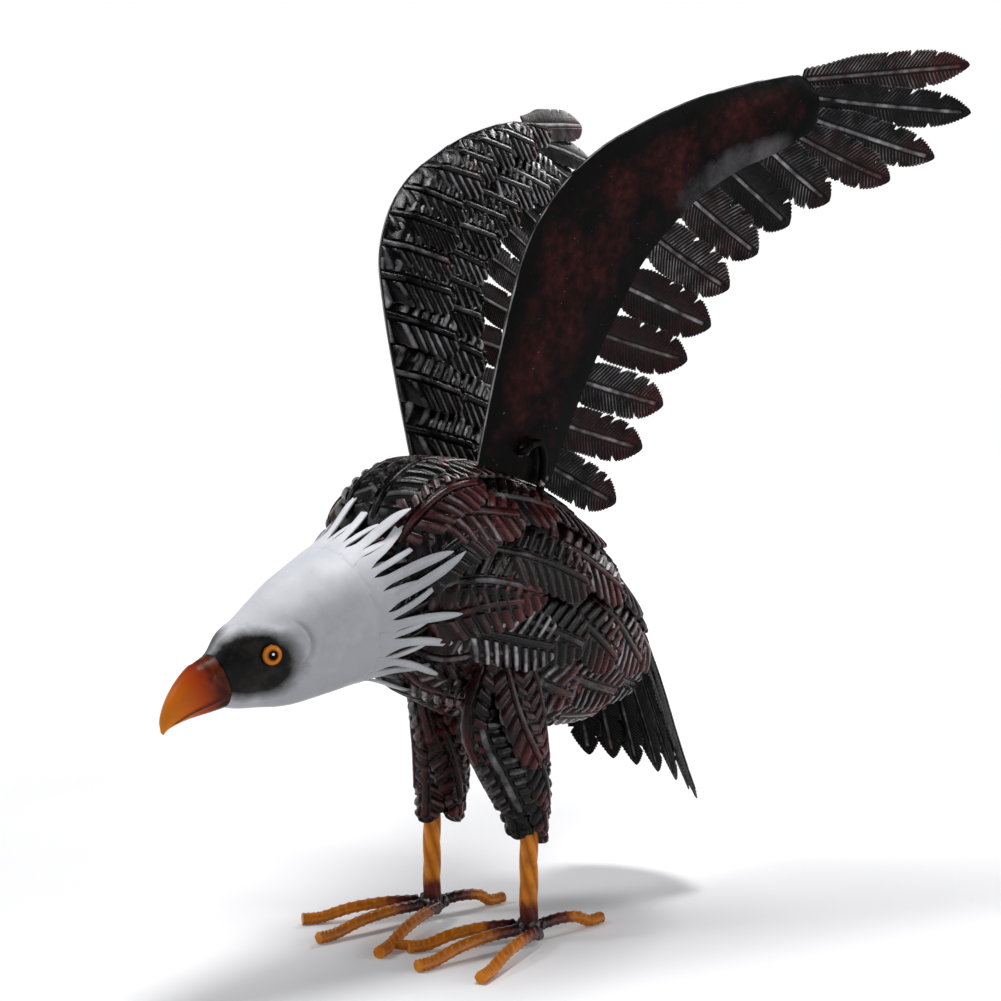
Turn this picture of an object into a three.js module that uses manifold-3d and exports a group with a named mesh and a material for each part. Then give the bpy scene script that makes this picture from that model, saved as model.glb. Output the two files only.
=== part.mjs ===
// Scrap metal eagle, standing with both wings raised, made of cut and embossed sheet steel.
// Millimetres, +Z up. The bird looks along -Y, and its left side is +X.
// The body is laid out around a point on the floor midway between the legs, and the finished
// group is then moved so that its box is centred over the origin, with its underside at Z = 0.
import * as THREE from 'three';
import { mergeVertices } from 'three/addons/utils/BufferGeometryUtils.js';
import Module from 'manifold-3d';

const wasm = await Module();
wasm.setup();

// ---------------------------------------------------------------- driving dimensions
const SHEET = 1.0;               // sheet steel of feathers and wing plates
const GAP = 0.3;                 // clearance between pieces that touch
const SIDES = [['left', 1], ['right', -1]];

// Cross-sections of the body, neck and beak: top Y, top Z, bottom Y, bottom Z, half width.
const BODY_SECTIONS = [
  [-108, 264, -84, 178, 38],
  [-99, 281, -70, 166, 48],
  [-71, 298, -44, 154, 56],
  [-32, 298, -16, 143, 60],
  [6, 292, 12, 135, 61],
  [43, 278, 38, 131, 60],
  [75, 256, 66, 131, 57],
  [101, 228, 92, 134, 51],
  [121, 202, 114, 140, 42],
  [133, 185, 127, 149, 29],
  [137, 175, 134, 160, 13],
];
const HEAD_SECTIONS = [
  [-216, 197, -207, 167, 13],
  [-207, 204, -198, 165, 19],
  [-194, 214, -187, 164, 24],
  [-178, 226, -169, 163, 30],
  [-160, 238, -148, 165, 35],
  [-140, 249, -122, 169, 39.5],
  [-118, 259, -96, 173, 43],
];
const BEAK_SECTIONS = [
  [-216.4, 197.5, -207.4, 166.5, 13],
  [-227, 192.5, -217, 165, 11],
  [-237, 184, -229, 163.5, 8.5],
  [-244.5, 174, -238, 161.5, 5.5],
  [-248.5, 164, -244.5, 159, 2.6],
  [-248, 157.5, -247, 156.8, 0.7],
];
const BODY_FACETS = 12;
const BODY_STEPS = 7;
const HEAD_FACETS = 14;
const HEAD_STEPS = 7;
const BEAK_FACETS = 10;

// White hackle spikes around the back edge of the neck.
const SPIKE_COUNT = 20;
const SPIKE_WIDTH = 12;
const SPIKE_RIDGE = 1.8;          // thickness of a spike along its fold
const SPIKE_LENGTHS = [34, 26, 40, 30, 46, 28];
const SPIKE_FLARE = [4, 9, 6, 12, 8, 5];
const SPIKE_LEAN = [0.1, -0.25, 0.2, -0.1, 0.3, -0.15];

// Eyes.
const EYE = { x: 22.6, y: -190, z: 196, radius: 6.2, depth: 5 };

// Rows of feathers. Each row is one pleated skirt with a scalloped edge. Around each feather:
// place across its pitch, share of its full length there, and share of its full rise.
const SCALLOP = [[-0.5, 0.72, 0.15], [-0.14, 1, 1], [0.14, 1, 1]];

// Body rows: place along the body, number of feathers, half-pitch offset and length.
const BODY_ROWS = [
  { at: 0.09, count: 10, phase: 0.5, length: 64 },
  { at: 0.25, count: 10, phase: 0.0, length: 66 },
  { at: 0.41, count: 10, phase: 0.5, length: 64 },
  { at: 0.56, count: 10, phase: 0.0, length: 56 },
  { at: 0.70, count: 9, phase: 0.5, length: 44 },
];
const BODY_FEATHER_RISE = 5.8;    // how far a tip stands off the body
const BODY_SINK = 6;               // how deep its root is sunk in the body
const BODY_FEATHER_DROOP = 0.30;  // radians that a side feather hangs below the body's line

// The wings lie on one curved sheet: X as a function of Y and Z.
const WING = { root: 30, rootZ: 303, flare: 0.27, curlY: -33, curl: 0.0006 };
const PLATE_FRONT = [
  [-30, 299], [-30, 350], [-28, 402], [-23, 434], [-6, 465],
  [22, 492], [60, 514], [99, 532], [148, 548], [188, 558],
];
const PLATE_BACK = [
  [38, 283], [47, 327], [59, 372], [69, 398], [79, 425],
  [98, 451], [118, 472], [147, 492], [178, 507], [208, 528],
];
const PLATE_RIBS = 12;
const PLATE_ROUNDING = 7;         // how much its outer end narrows at each edge
const PLATE_BULGE = 2.4;          // how far the plate domes outwards between its edges

// Flight feathers from the wing tip (01) to the wing base (13):
// root Y and Z on the plate's back edge, visible length, droop in degrees, width.
const FLIGHT_FEATHERS = [
  [204, 557, 118, -10, 27],
  [210, 544, 121, -1, 26],
  [214, 529, 98, 9, 26],
  [203, 516, 78, 15, 28],
  [180, 504, 58, 26, 32],
  [148, 489, 62, 27, 33],
  [118, 470, 70, 25, 33],
  [92, 444, 77, 21, 33],
  [73, 413, 86, 15, 32],
  [60, 382, 83, 10, 31],
  [53, 352, 77, 11, 30],
  [45, 324, 75, 12, 29],
  [38, 298, 73, 21, 29],
];
const HIDDEN_ROOT = 18;           // length of quill held between plate and coverts
const FAN_FEATHERS = 4;           // the outer feathers spread from one end and shingle more
const FLIGHT_TILT = 0.055;
const FAN_TILT = 0.15;
const FLIGHT_OFFSET = 2.8;        // from the plate's outer face to a feather's underside
const COVERT_OFFSET = 6.1;        // from the plate's outer face to the covert sheet

// Coverts on the inner (upper) face of each wing, in two rows. Each row follows the plate's
// front edge: how far its roots lie behind that edge, where it starts and ends as a share of
// the edge, number of feathers, length, droop in degrees at the start and at the end, how far
// its tips stand off, and how far it lies above the row below.
const COVERT_ROWS = [
  { inset: 34, from: 0.02, to: 0.95, count: 11, length: 56, droop: [12, 4], rise: 2.4, lift: 0 },
  { inset: 1, from: 0.01, to: 0.98, count: 12, length: 62, droop: [8, -9], rise: 4.0, lift: 0.5 },
];

// Hooks that hold the wings on the back.
const HOOK_RADIUS = 2;
const HOOK_HOLE = 3.3;
const HOOK_STEPS = 9;
const HOOK_FACETS = 6;

// Tail: a fan of feathers bent around a cone, hanging behind the rump.
const TAIL_COUNT = 7;
const TAIL_STEP = 15;             // degrees between feathers around the cone
const TAIL_TOP = { centerY: 98, radius: 48, z: 180 };
const TAIL_TIP = { centerY: 126, radius: 68, z: 73 };
const TAIL_WIDTH = 27;
const TAIL_TILT = 0.24;
const TAIL_ROLL = 0.2;            // its left side hangs lower

// Legs and feet.
const LEGS = {
  left: { x: 46, y: -1.5 },
  right: { x: -40, y: 0 },
};
const LEG_RADIUS = 6;             // twisted fluted bar, over its ribs
const LEG_FLUTE = 5;              // radius in its flutes
const LEG_BOTTOM = 5;
const LEG_TOP = 84;
const LEG_TWIST = 2.4;            // radians over the whole bar
const TOE_RADIUS = 4;             // reinforcing bar, from its axis to a flat
const TOE_FLAT = 12;              // straight end that lies on the floor
const TOE_ARCH = [[0, 5.5], [0.3, 6.2], [0.6, 4.2]];   // share of its reach, rise off the floor
const TOES = {
  left: {
    inner: { start: [36, -4], tip: [7, -69] },
    middle: { start: [44.5, -12], tip: [38, -92] },
    outer: { start: [56.3, -5], tip: [81, -84] },
    hind: { start: [47.5, 9], tip: [53, 62] },
  },
  right: {
    inner: { start: [-30, -4], tip: [2, -89] },
    middle: { start: [-41, -10.5], tip: [-48, -93] },
    outer: { start: [-50.2, -3], tip: [-88, -71] },
    hind: { start: [-38.5, 10.5], tip: [-27, 56] },
  },
};

// Thighs, hand made and not quite alike: height, centre Y, half width in X, half width in Y.
const THIGHS = {
  left: [[186, -20, 5, 22], [140, -26, 15, 30], [112, -17, 15, 23], [88, -8, 11, 14], [66, -2, 7, 7]],
  right: [[186, 1, 5, 17], [140, 5, 14, 18], [112, 9, 14, 16], [88, 9, 13, 13], [67, 7, 11, 12]],
};
const THIGH_FACETS = 8;
const THIGH_FEATHERS = 5;

// ---------------------------------------------------------------- materials
function paint(color, roughness, metalness) {
  return new THREE.MeshStandardMaterial({ color, roughness, metalness });
}

const MATERIALS = {
  feather: paint(0x1d1718, 0.42, 0.45),
  plate: paint(0x191416, 0.38, 0.5),
  white: paint(0xd9dde2, 0.5, 0.05),
  beak: paint(0xc8760c, 0.4, 0.1),
  eye: paint(0xc98a1a, 0.2, 0.0),
  leg: paint(0xb8741a, 0.42, 0.3),
};

// ---------------------------------------------------------------- closed mesh helpers
function vec(x, y, z) {
  return new THREE.Vector3(x, y, z);
}

function lerp(a, b, t) {
  return a + (b - a) * t;
}

// Joins equal rings of points into one closed body, with its faces pointing out.
function loft(rings) {
  const count = rings[0].length;
  const points = rings.flat();
  const faces = [];
  for (let r = 0; r + 1 < rings.length; r += 1) {
    for (let i = 0; i < count; i += 1) {
      const a = r * count + i;
      const b = r * count + ((i + 1) % count);
      faces.push([a, b, b + count], [a, b + count, a + count]);
    }
  }
  const last = (rings.length - 1) * count;
  for (let i = 1; i + 1 < count; i += 1) {
    faces.push([0, i + 1, i], [last, last + i, last + i + 1]);
  }
  return closedGeometry(points, faces);
}

// Joins equal rings of points into one closed loop.
function loftLoop(rings) {
  const count = rings[0].length;
  const total = rings.length * count;
  const faces = [];
  for (let r = 0; r < rings.length; r += 1) {
    for (let i = 0; i < count; i += 1) {
      const a = r * count + i;
      const b = r * count + ((i + 1) % count);
      const c = (a + count) % total;
      const d = (b + count) % total;
      faces.push([a, b, d], [a, d, c]);
    }
  }
  return closedGeometry(rings.flat(), faces);
}

function closedGeometry(points, faces) {
  let volume = 0;
  for (const [a, b, c] of faces) {
    volume += points[a].dot(points[b].clone().cross(points[c]));
  }
  const index = volume > 0 ? faces.flat() : faces.map(([a, b, c]) => [a, c, b]).flat();
  const geometry = new THREE.BufferGeometry();
  geometry.setFromPoints(points);
  geometry.setIndex(index);
  return geometry;
}

function solid(geometry) {
  const bare = geometry.clone();
  bare.deleteAttribute('normal');
  bare.deleteAttribute('uv');
  const merged = mergeVertices(bare, 1e-4);
  return new wasm.Manifold(new wasm.Mesh({
    numProp: 3,
    vertProperties: new Float32Array(merged.attributes.position.array),
    triVerts: new Uint32Array(merged.index.array),
  }));
}

function join(geometries) {
  let total = solid(geometries[0]);
  for (const geometry of geometries.slice(1)) {
    total = total.add(solid(geometry));
  }
  return total;
}

// The largest single body of a cut solid, without the crumbs that a cut may leave.
function largestPiece(manifold) {
  const pieces = manifold.decompose();
  return pieces.reduce((best, piece) => (piece.volume() > best.volume() ? piece : best));
}

function geometryOf(manifold) {
  const mesh = manifold.getMesh();
  const geometry = new THREE.BufferGeometry();
  geometry.setAttribute('position', new THREE.BufferAttribute(mesh.vertProperties, 3));
  geometry.setIndex(new THREE.BufferAttribute(mesh.triVerts, 1));
  return geometry;
}

const eagle = new THREE.Group();
eagle.name = 'eagle';

function addPiece(name, geometry, material) {
  const faceted = geometry.index ? geometry.toNonIndexed() : geometry;
  faceted.computeVertexNormals();
  const mesh = new THREE.Mesh(faceted, material);
  mesh.name = name;
  eagle.add(mesh);
}

// ---------------------------------------------------------------- swept oval sections
// A form whose sections are ovals between a top line and a bottom line in the middle plane.
function ovalForm(sections) {
  const top = new THREE.CatmullRomCurve3(sections.map((s) => vec(0, s[0], s[1])));
  const bottom = new THREE.CatmullRomCurve3(sections.map((s) => vec(0, s[2], s[3])));
  const width = new THREE.CatmullRomCurve3(sections.map((s, i) => vec(s[4], i, 0)));
  return {
    // t runs along the form, turn goes around it from the top, lift stands off the surface.
    point(t, turn, grow = 0) {
      const high = top.getPoint(t);
      const low = bottom.getPoint(t);
      const center = high.clone().add(low).multiplyScalar(0.5);
      const up = high.clone().sub(low).multiplyScalar(0.5);
      up.setLength(up.length() + grow);
      const half = width.getPoint(t).x + grow;
      return center.addScaledVector(up, Math.cos(turn)).add(vec(half * Math.sin(turn), 0, 0));
    },
  };
}

function ovalRings(form, steps, facets, grow = 0, from = 0, to = 1) {
  const rings = [];
  for (let i = 0; i <= steps; i += 1) {
    const t = lerp(from, to, i / steps);
    const ring = [];
    for (let k = 0; k < facets; k += 1) {
      ring.push(form.point(t, (2 * Math.PI * k) / facets, grow));
    }
    rings.push(ring);
  }
  return rings;
}

// ---------------------------------------------------------------- feathers
// Width of a feather along its length, from the quill to the rounded point.
const FEATHER_STATIONS = [[0.0, 0.5], [0.24, 0.94], [0.62, 1.0], [0.88, 0.68], [1.0, 0.12]];
const RIDGE_START = 0.3;
const RIDGE_HEIGHT = 1.3;
const QUILL_HEIGHT = 0.3;         // the fold at its root and at its very tip

// place(along, across, height) puts a point of the flat feather where it belongs.
function featherGeometry(length, width, place, grow = 0) {
  const rings = FEATHER_STATIONS.map(([share, factor]) => {
    const along = share * length + (share === 0 ? -grow : 0) + (share === 1 ? grow : 0);
    const half = (width * factor) / 2 + grow;
    const ridged = share > RIDGE_START && share < 0.99;
    const ridge = SHEET + (ridged ? RIDGE_HEIGHT : QUILL_HEIGHT) + grow;
    return [
      place(along, -half, SHEET + grow),
      place(along, 0, ridge),
      place(along, half, SHEET + grow),
      place(along, half, -grow),
      place(along, -half, -grow),
    ];
  });
  return loft(rings);
}

// Places across a row of feathers, one list of [position, length share, rise share].
function scallops(count) {
  const stations = [];
  for (let i = 0; i < count; i += 1) {
    for (const [across, reach, rise] of SCALLOP) {
      stations.push([i + 0.5 + across, reach, rise]);
    }
  }
  return stations;
}

// ---------------------------------------------------------------- body with its feathers
const body = ovalForm(BODY_SECTIONS);

// A point of the body's surface, raised along its normal.
function bodySkin(t, turn, height) {
  const step = 0.004;
  const clamped = Math.min(t, 0.985);
  const alongAxis = body.point(clamped + step, turn).sub(body.point(clamped - step, turn));
  const around = body.point(clamped, turn + step).sub(body.point(clamped, turn - step));
  const normal = around.cross(alongAxis).normalize();
  return body.point(clamped, turn).addScaledVector(normal, height);
}

// Length of the body's surface per unit of t, at the side of the body.
function bodyRun(t) {
  const step = 0.02;
  return body.point(t + step, 1).distanceTo(body.point(t - step, 1)) / (2 * step);
}

// One row of body feathers, closed into a ring. The side feathers hang down a little.
function bodySkirt({ at, count, phase, length }) {
  const run = bodyRun(at);
  const radius = body.point(at, 1).distanceTo(body.point(at, -1)) / 1.7;
  const rings = scallops(count).map(([position, reach, rise]) => {
    const turn = (2 * Math.PI * (position + phase)) / count;
    const droop = BODY_FEATHER_DROOP * Math.sin(turn);
    const skin = (share, height) => {
      const along = share * reach * length;
      return bodySkin(
        at + (along * Math.cos(droop)) / run,
        turn + (along * Math.sin(droop)) / radius,
        height,
      );
    };
    return [
      skin(0, -1),
      skin(0.55, BODY_FEATHER_RISE * rise * 0.6),
      skin(1, BODY_FEATHER_RISE * rise),
      skin(1, -BODY_SINK),
      skin(0, -BODY_SINK),
    ];
  });
  return loftLoop(rings);
}

function bodyParts() {
  return [loft(ovalRings(body, BODY_STEPS, BODY_FACETS, -1)), ...BODY_ROWS.map(bodySkirt)];
}

// ---------------------------------------------------------------- neck, head, beak and eyes
const head = ovalForm(HEAD_SECTIONS);

function spikeGeometry(index, grow) {
  const turn = (2 * Math.PI * (index + 0.5)) / SPIKE_COUNT;
  const length = SPIKE_LENGTHS[index % SPIKE_LENGTHS.length];
  const flare = SPIKE_FLARE[index % SPIKE_FLARE.length];
  const lean = SPIKE_LEAN[index % SPIKE_LEAN.length];
  const rim = head.point(1, turn);
  const inner = head.point(0.9, turn);
  const back = rim.clone().sub(inner).normalize();
  const around = head.point(1, turn + 0.05).sub(head.point(1, turn - 0.05)).normalize();
  const normal = around.clone().cross(back).normalize();
  const stations = [[-7, 1.0, 0.0], [0.45 * length, 0.62, 0.4], [length + grow, 0.06, 1.0]];
  return loft(stations.map(([along, factor, out]) => {
    const half = (SPIKE_WIDTH * factor) / 2;
    const slope = Math.hypot(SPIKE_RIDGE, half);
    const corner = half + (grow * (slope + half)) / SPIKE_RIDGE;
    const ridge = SPIKE_RIDGE + (grow * slope) / half;
    const center = rim.clone().addScaledVector(back, along);
    center.addScaledVector(around, lean * Math.max(along, 0));
    center.addScaledVector(normal, flare * out - 0.8);
    return [
      center.clone().addScaledVector(around, -corner).addScaledVector(normal, -grow),
      center.clone().addScaledVector(normal, ridge),
      center.clone().addScaledVector(around, corner).addScaledVector(normal, -grow),
    ];
  }));
}

function eyeGeometry(side, grow = 0) {
  const radius = EYE.radius + grow;
  const dome = [
    new THREE.Vector2(0, -EYE.depth - grow),
    new THREE.Vector2(radius, -EYE.depth - grow),
    new THREE.Vector2(radius, 0),
    new THREE.Vector2(radius * 0.72, 2.2 + grow),
    new THREE.Vector2(0, 3.2 + grow),
  ];
  const geometry = new THREE.LatheGeometry(dome, 8);
  geometry.rotateZ(-side * Math.PI / 2);
  geometry.rotateZ(side * 0.16);
  geometry.translate(side * EYE.x, EYE.y, EYE.z);
  return geometry;
}

function buildHead(grow = 0) {
  const rings = ovalRings(head, HEAD_STEPS, HEAD_FACETS, grow);
  for (const point of rings[HEAD_STEPS]) {
    point.y += grow;
  }
  const parts = [loft(rings)];
  for (let i = 0; i < SPIKE_COUNT; i += 1) {
    parts.push(spikeGeometry(i, grow));
  }
  return join(parts);
}

// ---------------------------------------------------------------- wings
// Y and Z lie on the wing sheet, offset goes inwards from the plate's outer face.
function wingPoint(side, y, z, offset) {
  const curl = WING.curl * Math.max(0, y - WING.curlY) ** 2;
  const x = WING.root + WING.flare * (z - WING.rootZ) + curl - offset;
  return vec(side * x, y, z);
}

const frontEdge = new THREE.CatmullRomCurve3(PLATE_FRONT.map(([y, z]) => vec(0, y, z)));
const backEdge = new THREE.CatmullRomCurve3(PLATE_BACK.map(([y, z]) => vec(0, y, z)));

// A curved sheet with the plate's outline. Margins grow it past its front, back and ends.
function wingSheet(side, outer, inner, { front = 0, back = 0, ends = 0, bulge = 0 } = {}) {
  const rings = [];
  for (let i = 0; i <= PLATE_RIBS; i += 1) {
    const t = i / PLATE_RIBS;
    const last = i === PLATE_RIBS;
    const frontPoint = frontEdge.getPoint(t);
    const backPoint = backEdge.getPoint(t);
    const chord = backPoint.clone().sub(frontPoint).normalize();
    const outward = frontEdge.getTangent(t).multiplyScalar(last ? ends : 0);
    outward.addScaledVector(frontEdge.getTangent(t), i === 0 ? -ends : 0);
    frontPoint.addScaledVector(chord, (last ? PLATE_ROUNDING : 0) - front).add(outward);
    backPoint.addScaledVector(chord, back - (last ? PLATE_ROUNDING : 0)).add(outward);
    const middle = frontPoint.clone().lerp(backPoint, 0.5);
    rings.push([
      wingPoint(side, frontPoint.y, frontPoint.z, outer),
      wingPoint(side, middle.y, middle.z, outer - bulge),
      wingPoint(side, backPoint.y, backPoint.z, outer),
      wingPoint(side, backPoint.y, backPoint.z, inner),
      wingPoint(side, middle.y, middle.z, inner - bulge),
      wingPoint(side, frontPoint.y, frontPoint.z, inner),
    ]);
  }
  return loft(rings);
}

function hookPath(side) {
  return new THREE.CatmullRomCurve3([
    vec(side * 31, 25, 276),
    vec(side * 35, 24, 292),
    vec(side * 38.5, 21, 304),
    vec(side * 41, 14, 312),
    vec(side * 41, 7, 311.5),
    vec(side * 38.5, 3.6, 307.5),
    vec(side * 31.6, 3, 306.5),
  ]);
}

function roundBar(path, radius) {
  const corners = [];
  for (let i = 0; i < HOOK_FACETS; i += 1) {
    const angle = (2 * Math.PI * (i + 0.5)) / HOOK_FACETS;
    corners.push(new THREE.Vector2(radius * Math.cos(angle), radius * Math.sin(angle)));
  }
  const settings = { steps: HOOK_STEPS, extrudePath: path, bevelEnabled: false };
  return new THREE.ExtrudeGeometry(new THREE.Shape(corners), settings);
}

function hookHole(side) {
  const drill = new THREE.CylinderGeometry(HOOK_HOLE, HOOK_HOLE, 14, 10);
  drill.rotateZ(Math.PI / 2);
  drill.translate(side * 33, 3, 306.5);
  return drill;
}

function placeOnWing(side, rootY, rootZ, droop, offset, tilt) {
  const c = Math.cos(droop);
  const s = Math.sin(droop);
  return (along, across, height) => wingPoint(
    side,
    rootY + along * c + across * s,
    rootZ - along * s + across * c,
    offset - tilt * across + height,
  );
}

function flightFeather(side, index, grow = 0) {
  const [y, z, visible, droopDegrees, width] = FLIGHT_FEATHERS[index];
  const droop = THREE.MathUtils.degToRad(droopDegrees);
  const tilt = index < FAN_FEATHERS ? FAN_TILT : FLIGHT_TILT;
  const rootY = y - HIDDEN_ROOT * Math.cos(droop);
  const rootZ = z + HIDDEN_ROOT * Math.sin(droop);
  const place = placeOnWing(side, rootY, rootZ, droop, FLIGHT_OFFSET, tilt);
  return featherGeometry(visible + HIDDEN_ROOT, width, place, grow);
}

function covertSkirt(side, { inset, from, to, count, length, droop, rise, lift }) {
  const bottom = COVERT_OFFSET + lift;
  const edge = [count, SCALLOP[0][1], SCALLOP[0][2]];
  return loft([...scallops(count), edge].map(([position, reach, share]) => {
    const t = lerp(from, to, position / count);
    const front = frontEdge.getPoint(t);
    const chord = backEdge.getPoint(t).sub(front).normalize();
    const root = front.addScaledVector(chord, inset);
    const angle = THREE.MathUtils.degToRad(lerp(droop[0], droop[1], t));
    const tipY = root.y + reach * length * Math.cos(angle);
    const tipZ = root.z - reach * length * Math.sin(angle);
    return [
      wingPoint(side, root.y, root.z, bottom + SHEET),
      wingPoint(side, tipY, tipZ, bottom + SHEET + rise * share),
      wingPoint(side, tipY, tipZ, bottom),
      wingPoint(side, root.y, root.z, bottom),
    ];
  }));
}

function buildCoverts(side) {
  return join(COVERT_ROWS.map((row) => covertSkirt(side, row)));
}

// ---------------------------------------------------------------- tail
function tailFeather(index, grow = 0) {
  const middle = (TAIL_COUNT - 1) / 2;
  const angle = THREE.MathUtils.degToRad(TAIL_STEP * (index - middle));
  const fanPoint = (ring) => vec(
    ring.radius * Math.sin(angle),
    ring.centerY + ring.radius * Math.cos(angle),
    ring.z,
  );
  const root = fanPoint(TAIL_TOP);
  const tip = fanPoint(TAIL_TIP);
  tip.z -= TAIL_ROLL * tip.x;
  const down = tip.clone().sub(root);
  const length = down.length();
  down.normalize();
  const across = vec(Math.cos(angle), -Math.sin(angle), 0);
  const outward = across.clone().cross(down).normalize();
  if (outward.y < 0) {
    outward.negate();
  }
  const place = (along, sideways, height) => root.clone()
    .addScaledVector(down, along)
    .addScaledVector(across, sideways)
    .addScaledVector(outward, height - TAIL_TILT * sideways);
  return featherGeometry(length, TAIL_WIDTH, place, grow);
}

// ---------------------------------------------------------------- thighs, legs and toes
function thighPoint(name, t, turn, lift) {
  const sections = THIGHS[name];
  const scaled = Math.min(t, 0.9999) * (sections.length - 1);
  const row = Math.floor(scaled);
  const [z, y, halfX, halfY] = sections[row].map((v, i) => (
    lerp(v, sections[row + 1][i], scaled - row)
  ));
  const x = LEGS[name].x + (halfX + lift) * Math.sin(turn);
  return vec(x, y - (halfY + lift) * Math.cos(turn), z);
}

// Stations of a thigh feather: share of its length, of its width, and of its rise.
const THIGH_STATIONS = [[0.0, 0.7, 0.0], [0.7, 1.0, 0.8], [1.0, 0.3, 1.0]];
const THIGH_RIDGE = 1.4;

function thighFeather(name, index) {
  const turn = (2 * Math.PI * (index + 0.5)) / THIGH_FEATHERS;
  const [top, bottom] = index % 2 === 0 ? [0.25, 0.98] : [0.34, 0.84];
  return loft(THIGH_STATIONS.map(([share, factor, lift]) => {
    const t = lerp(top, bottom, share);
    const spread = 0.55 * factor;
    const edge = lerp(-0.4, 2.6, lift);
    const corner = (offset, height) => thighPoint(name, t, turn + offset, height);
    return [
      corner(-spread, edge),
      corner(0, edge + THIGH_RIDGE),
      corner(spread, edge),
      corner(spread * 0.8, -5),
      corner(-spread * 0.8, -5),
    ];
  }));
}

function thighParts(name) {
  const rings = THIGHS[name].map((_, row) => {
    const t = row / (THIGHS[name].length - 1);
    const ring = [];
    for (let k = 0; k < THIGH_FACETS; k += 1) {
      ring.push(thighPoint(name, t, (2 * Math.PI * (k + 0.5)) / THIGH_FACETS, 0));
    }
    return ring;
  });
  const parts = [loft(rings)];
  for (let i = 0; i < THIGH_FEATHERS; i += 1) {
    parts.push(thighFeather(name, i));
  }
  return parts;
}

function legGeometry(name, grow = 0) {
  const { x, y } = LEGS[name];
  const rings = [];
  const steps = 6;
  for (let i = 0; i <= steps; i += 1) {
    const z = lerp(LEG_BOTTOM - grow, LEG_TOP + grow, i / steps);
    const ring = [];
    for (let k = 0; k < 8; k += 1) {
      const angle = (LEG_TWIST * i) / steps + (k * Math.PI) / 4;
      const radius = (k % 2 === 0 ? LEG_RADIUS : LEG_FLUTE) + grow;
      ring.push(vec(x + radius * Math.cos(angle), y + radius * Math.sin(angle), z));
    }
    rings.push(ring);
  }
  return loft(rings);
}

// A toe leaves the leg, arches down and ends in a straight length flat on the floor.
function toeGeometry({ start, tip }) {
  const from = vec(start[0], start[1], 0);
  const to = vec(tip[0], tip[1], 0);
  const reach = from.distanceTo(to);
  const forward = to.sub(from).normalize();
  const across = vec(-forward.y, forward.x, 0);
  return loft([...TOE_ARCH, [1 - TOE_FLAT / reach, 0], [1, 0]].map(([share, rise]) => {
    const center = from.clone().addScaledVector(forward, share * reach);
    center.z = TOE_RADIUS + rise;
    const ring = [];
    for (let k = 0; k < 8; k += 1) {
      const angle = ((k + 0.5) * Math.PI) / 4;
      const size = TOE_RADIUS / Math.cos(Math.PI / 8);
      const point = center.clone().addScaledVector(across, size * Math.sin(angle));
      point.z += size * Math.cos(angle);
      ring.push(point);
    }
    return ring;
  }));
}

// ---------------------------------------------------------------- assembly
let skull = buildHead();
let torso = join([...bodyParts(), ...thighParts('left'), ...thighParts('right')]);
torso = torso.subtract(buildHead(GAP)).subtract(buildHead());

for (const [name, side] of SIDES) {
  skull = skull.subtract(solid(eyeGeometry(side, GAP)));
  addPiece(`${name}_eye`, eyeGeometry(side), MATERIALS.eye);

  const seat = { front: GAP, back: GAP, ends: GAP };
  torso = torso.subtract(solid(wingSheet(side, -PLATE_BULGE - GAP, COVERT_OFFSET + 6, seat)));
  torso = torso.subtract(solid(roundBar(hookPath(side), HOOK_RADIUS + GAP)));

  const sheet = solid(wingSheet(side, 0, SHEET, { bulge: PLATE_BULGE }));
  const plate = sheet.subtract(solid(hookHole(side)));
  addPiece(`${name}_wing_plate`, geometryOf(plate), MATERIALS.plate);
  addPiece(`${name}_wing_coverts`, geometryOf(buildCoverts(side)), MATERIALS.feather);
  addPiece(`${name}_wing_hook`, roundBar(hookPath(side), HOOK_RADIUS), MATERIALS.plate);
  for (let i = 0; i < FLIGHT_FEATHERS.length; i += 1) {
    const number = String(i + 1).padStart(2, '0');
    addPiece(`${name}_flight_feather_${number}`, flightFeather(side, i), MATERIALS.feather);
  }

  torso = torso.subtract(solid(legGeometry(name, GAP)));
  addPiece(`${name}_leg`, legGeometry(name), MATERIALS.leg);
  for (const [toeName, toe] of Object.entries(TOES[name])) {
    addPiece(`${name}_toe_${toeName}`, toeGeometry(toe), MATERIALS.leg);
  }
}

for (let i = 0; i < TAIL_COUNT; i += 1) {
  torso = torso.subtract(solid(tailFeather(i, GAP)));
  addPiece(`tail_feather_${i + 1}`, tailFeather(i), MATERIALS.feather);
}

addPiece('torso', geometryOf(largestPiece(torso)), MATERIALS.feather);
addPiece('neck_and_head', geometryOf(largestPiece(skull)), MATERIALS.white);
addPiece('beak', loft(ovalRings(ovalForm(BEAK_SECTIONS), 5, BEAK_FACETS)), MATERIALS.beak);

const box = new THREE.Box3().setFromObject(eagle);
eagle.position.set(-(box.min.x + box.max.x) / 2, -(box.min.y + box.max.y) / 2, -box.min.z);

export default eagle;
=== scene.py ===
"""Scrap metal eagle with raised wings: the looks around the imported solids.

Lengths are millimetres in the bird's own layout, with the origin on the floor in its middle
plane. The bird looks along -Y and its left side is +X. add_piece() turns them into metres.
On every form t runs from 0 to 1 along it, and turn goes round it in radians.
"""
import math
from types import SimpleNamespace as Measures

import bpy
import numpy as np
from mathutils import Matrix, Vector
from numpy.linalg import norm


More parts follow.
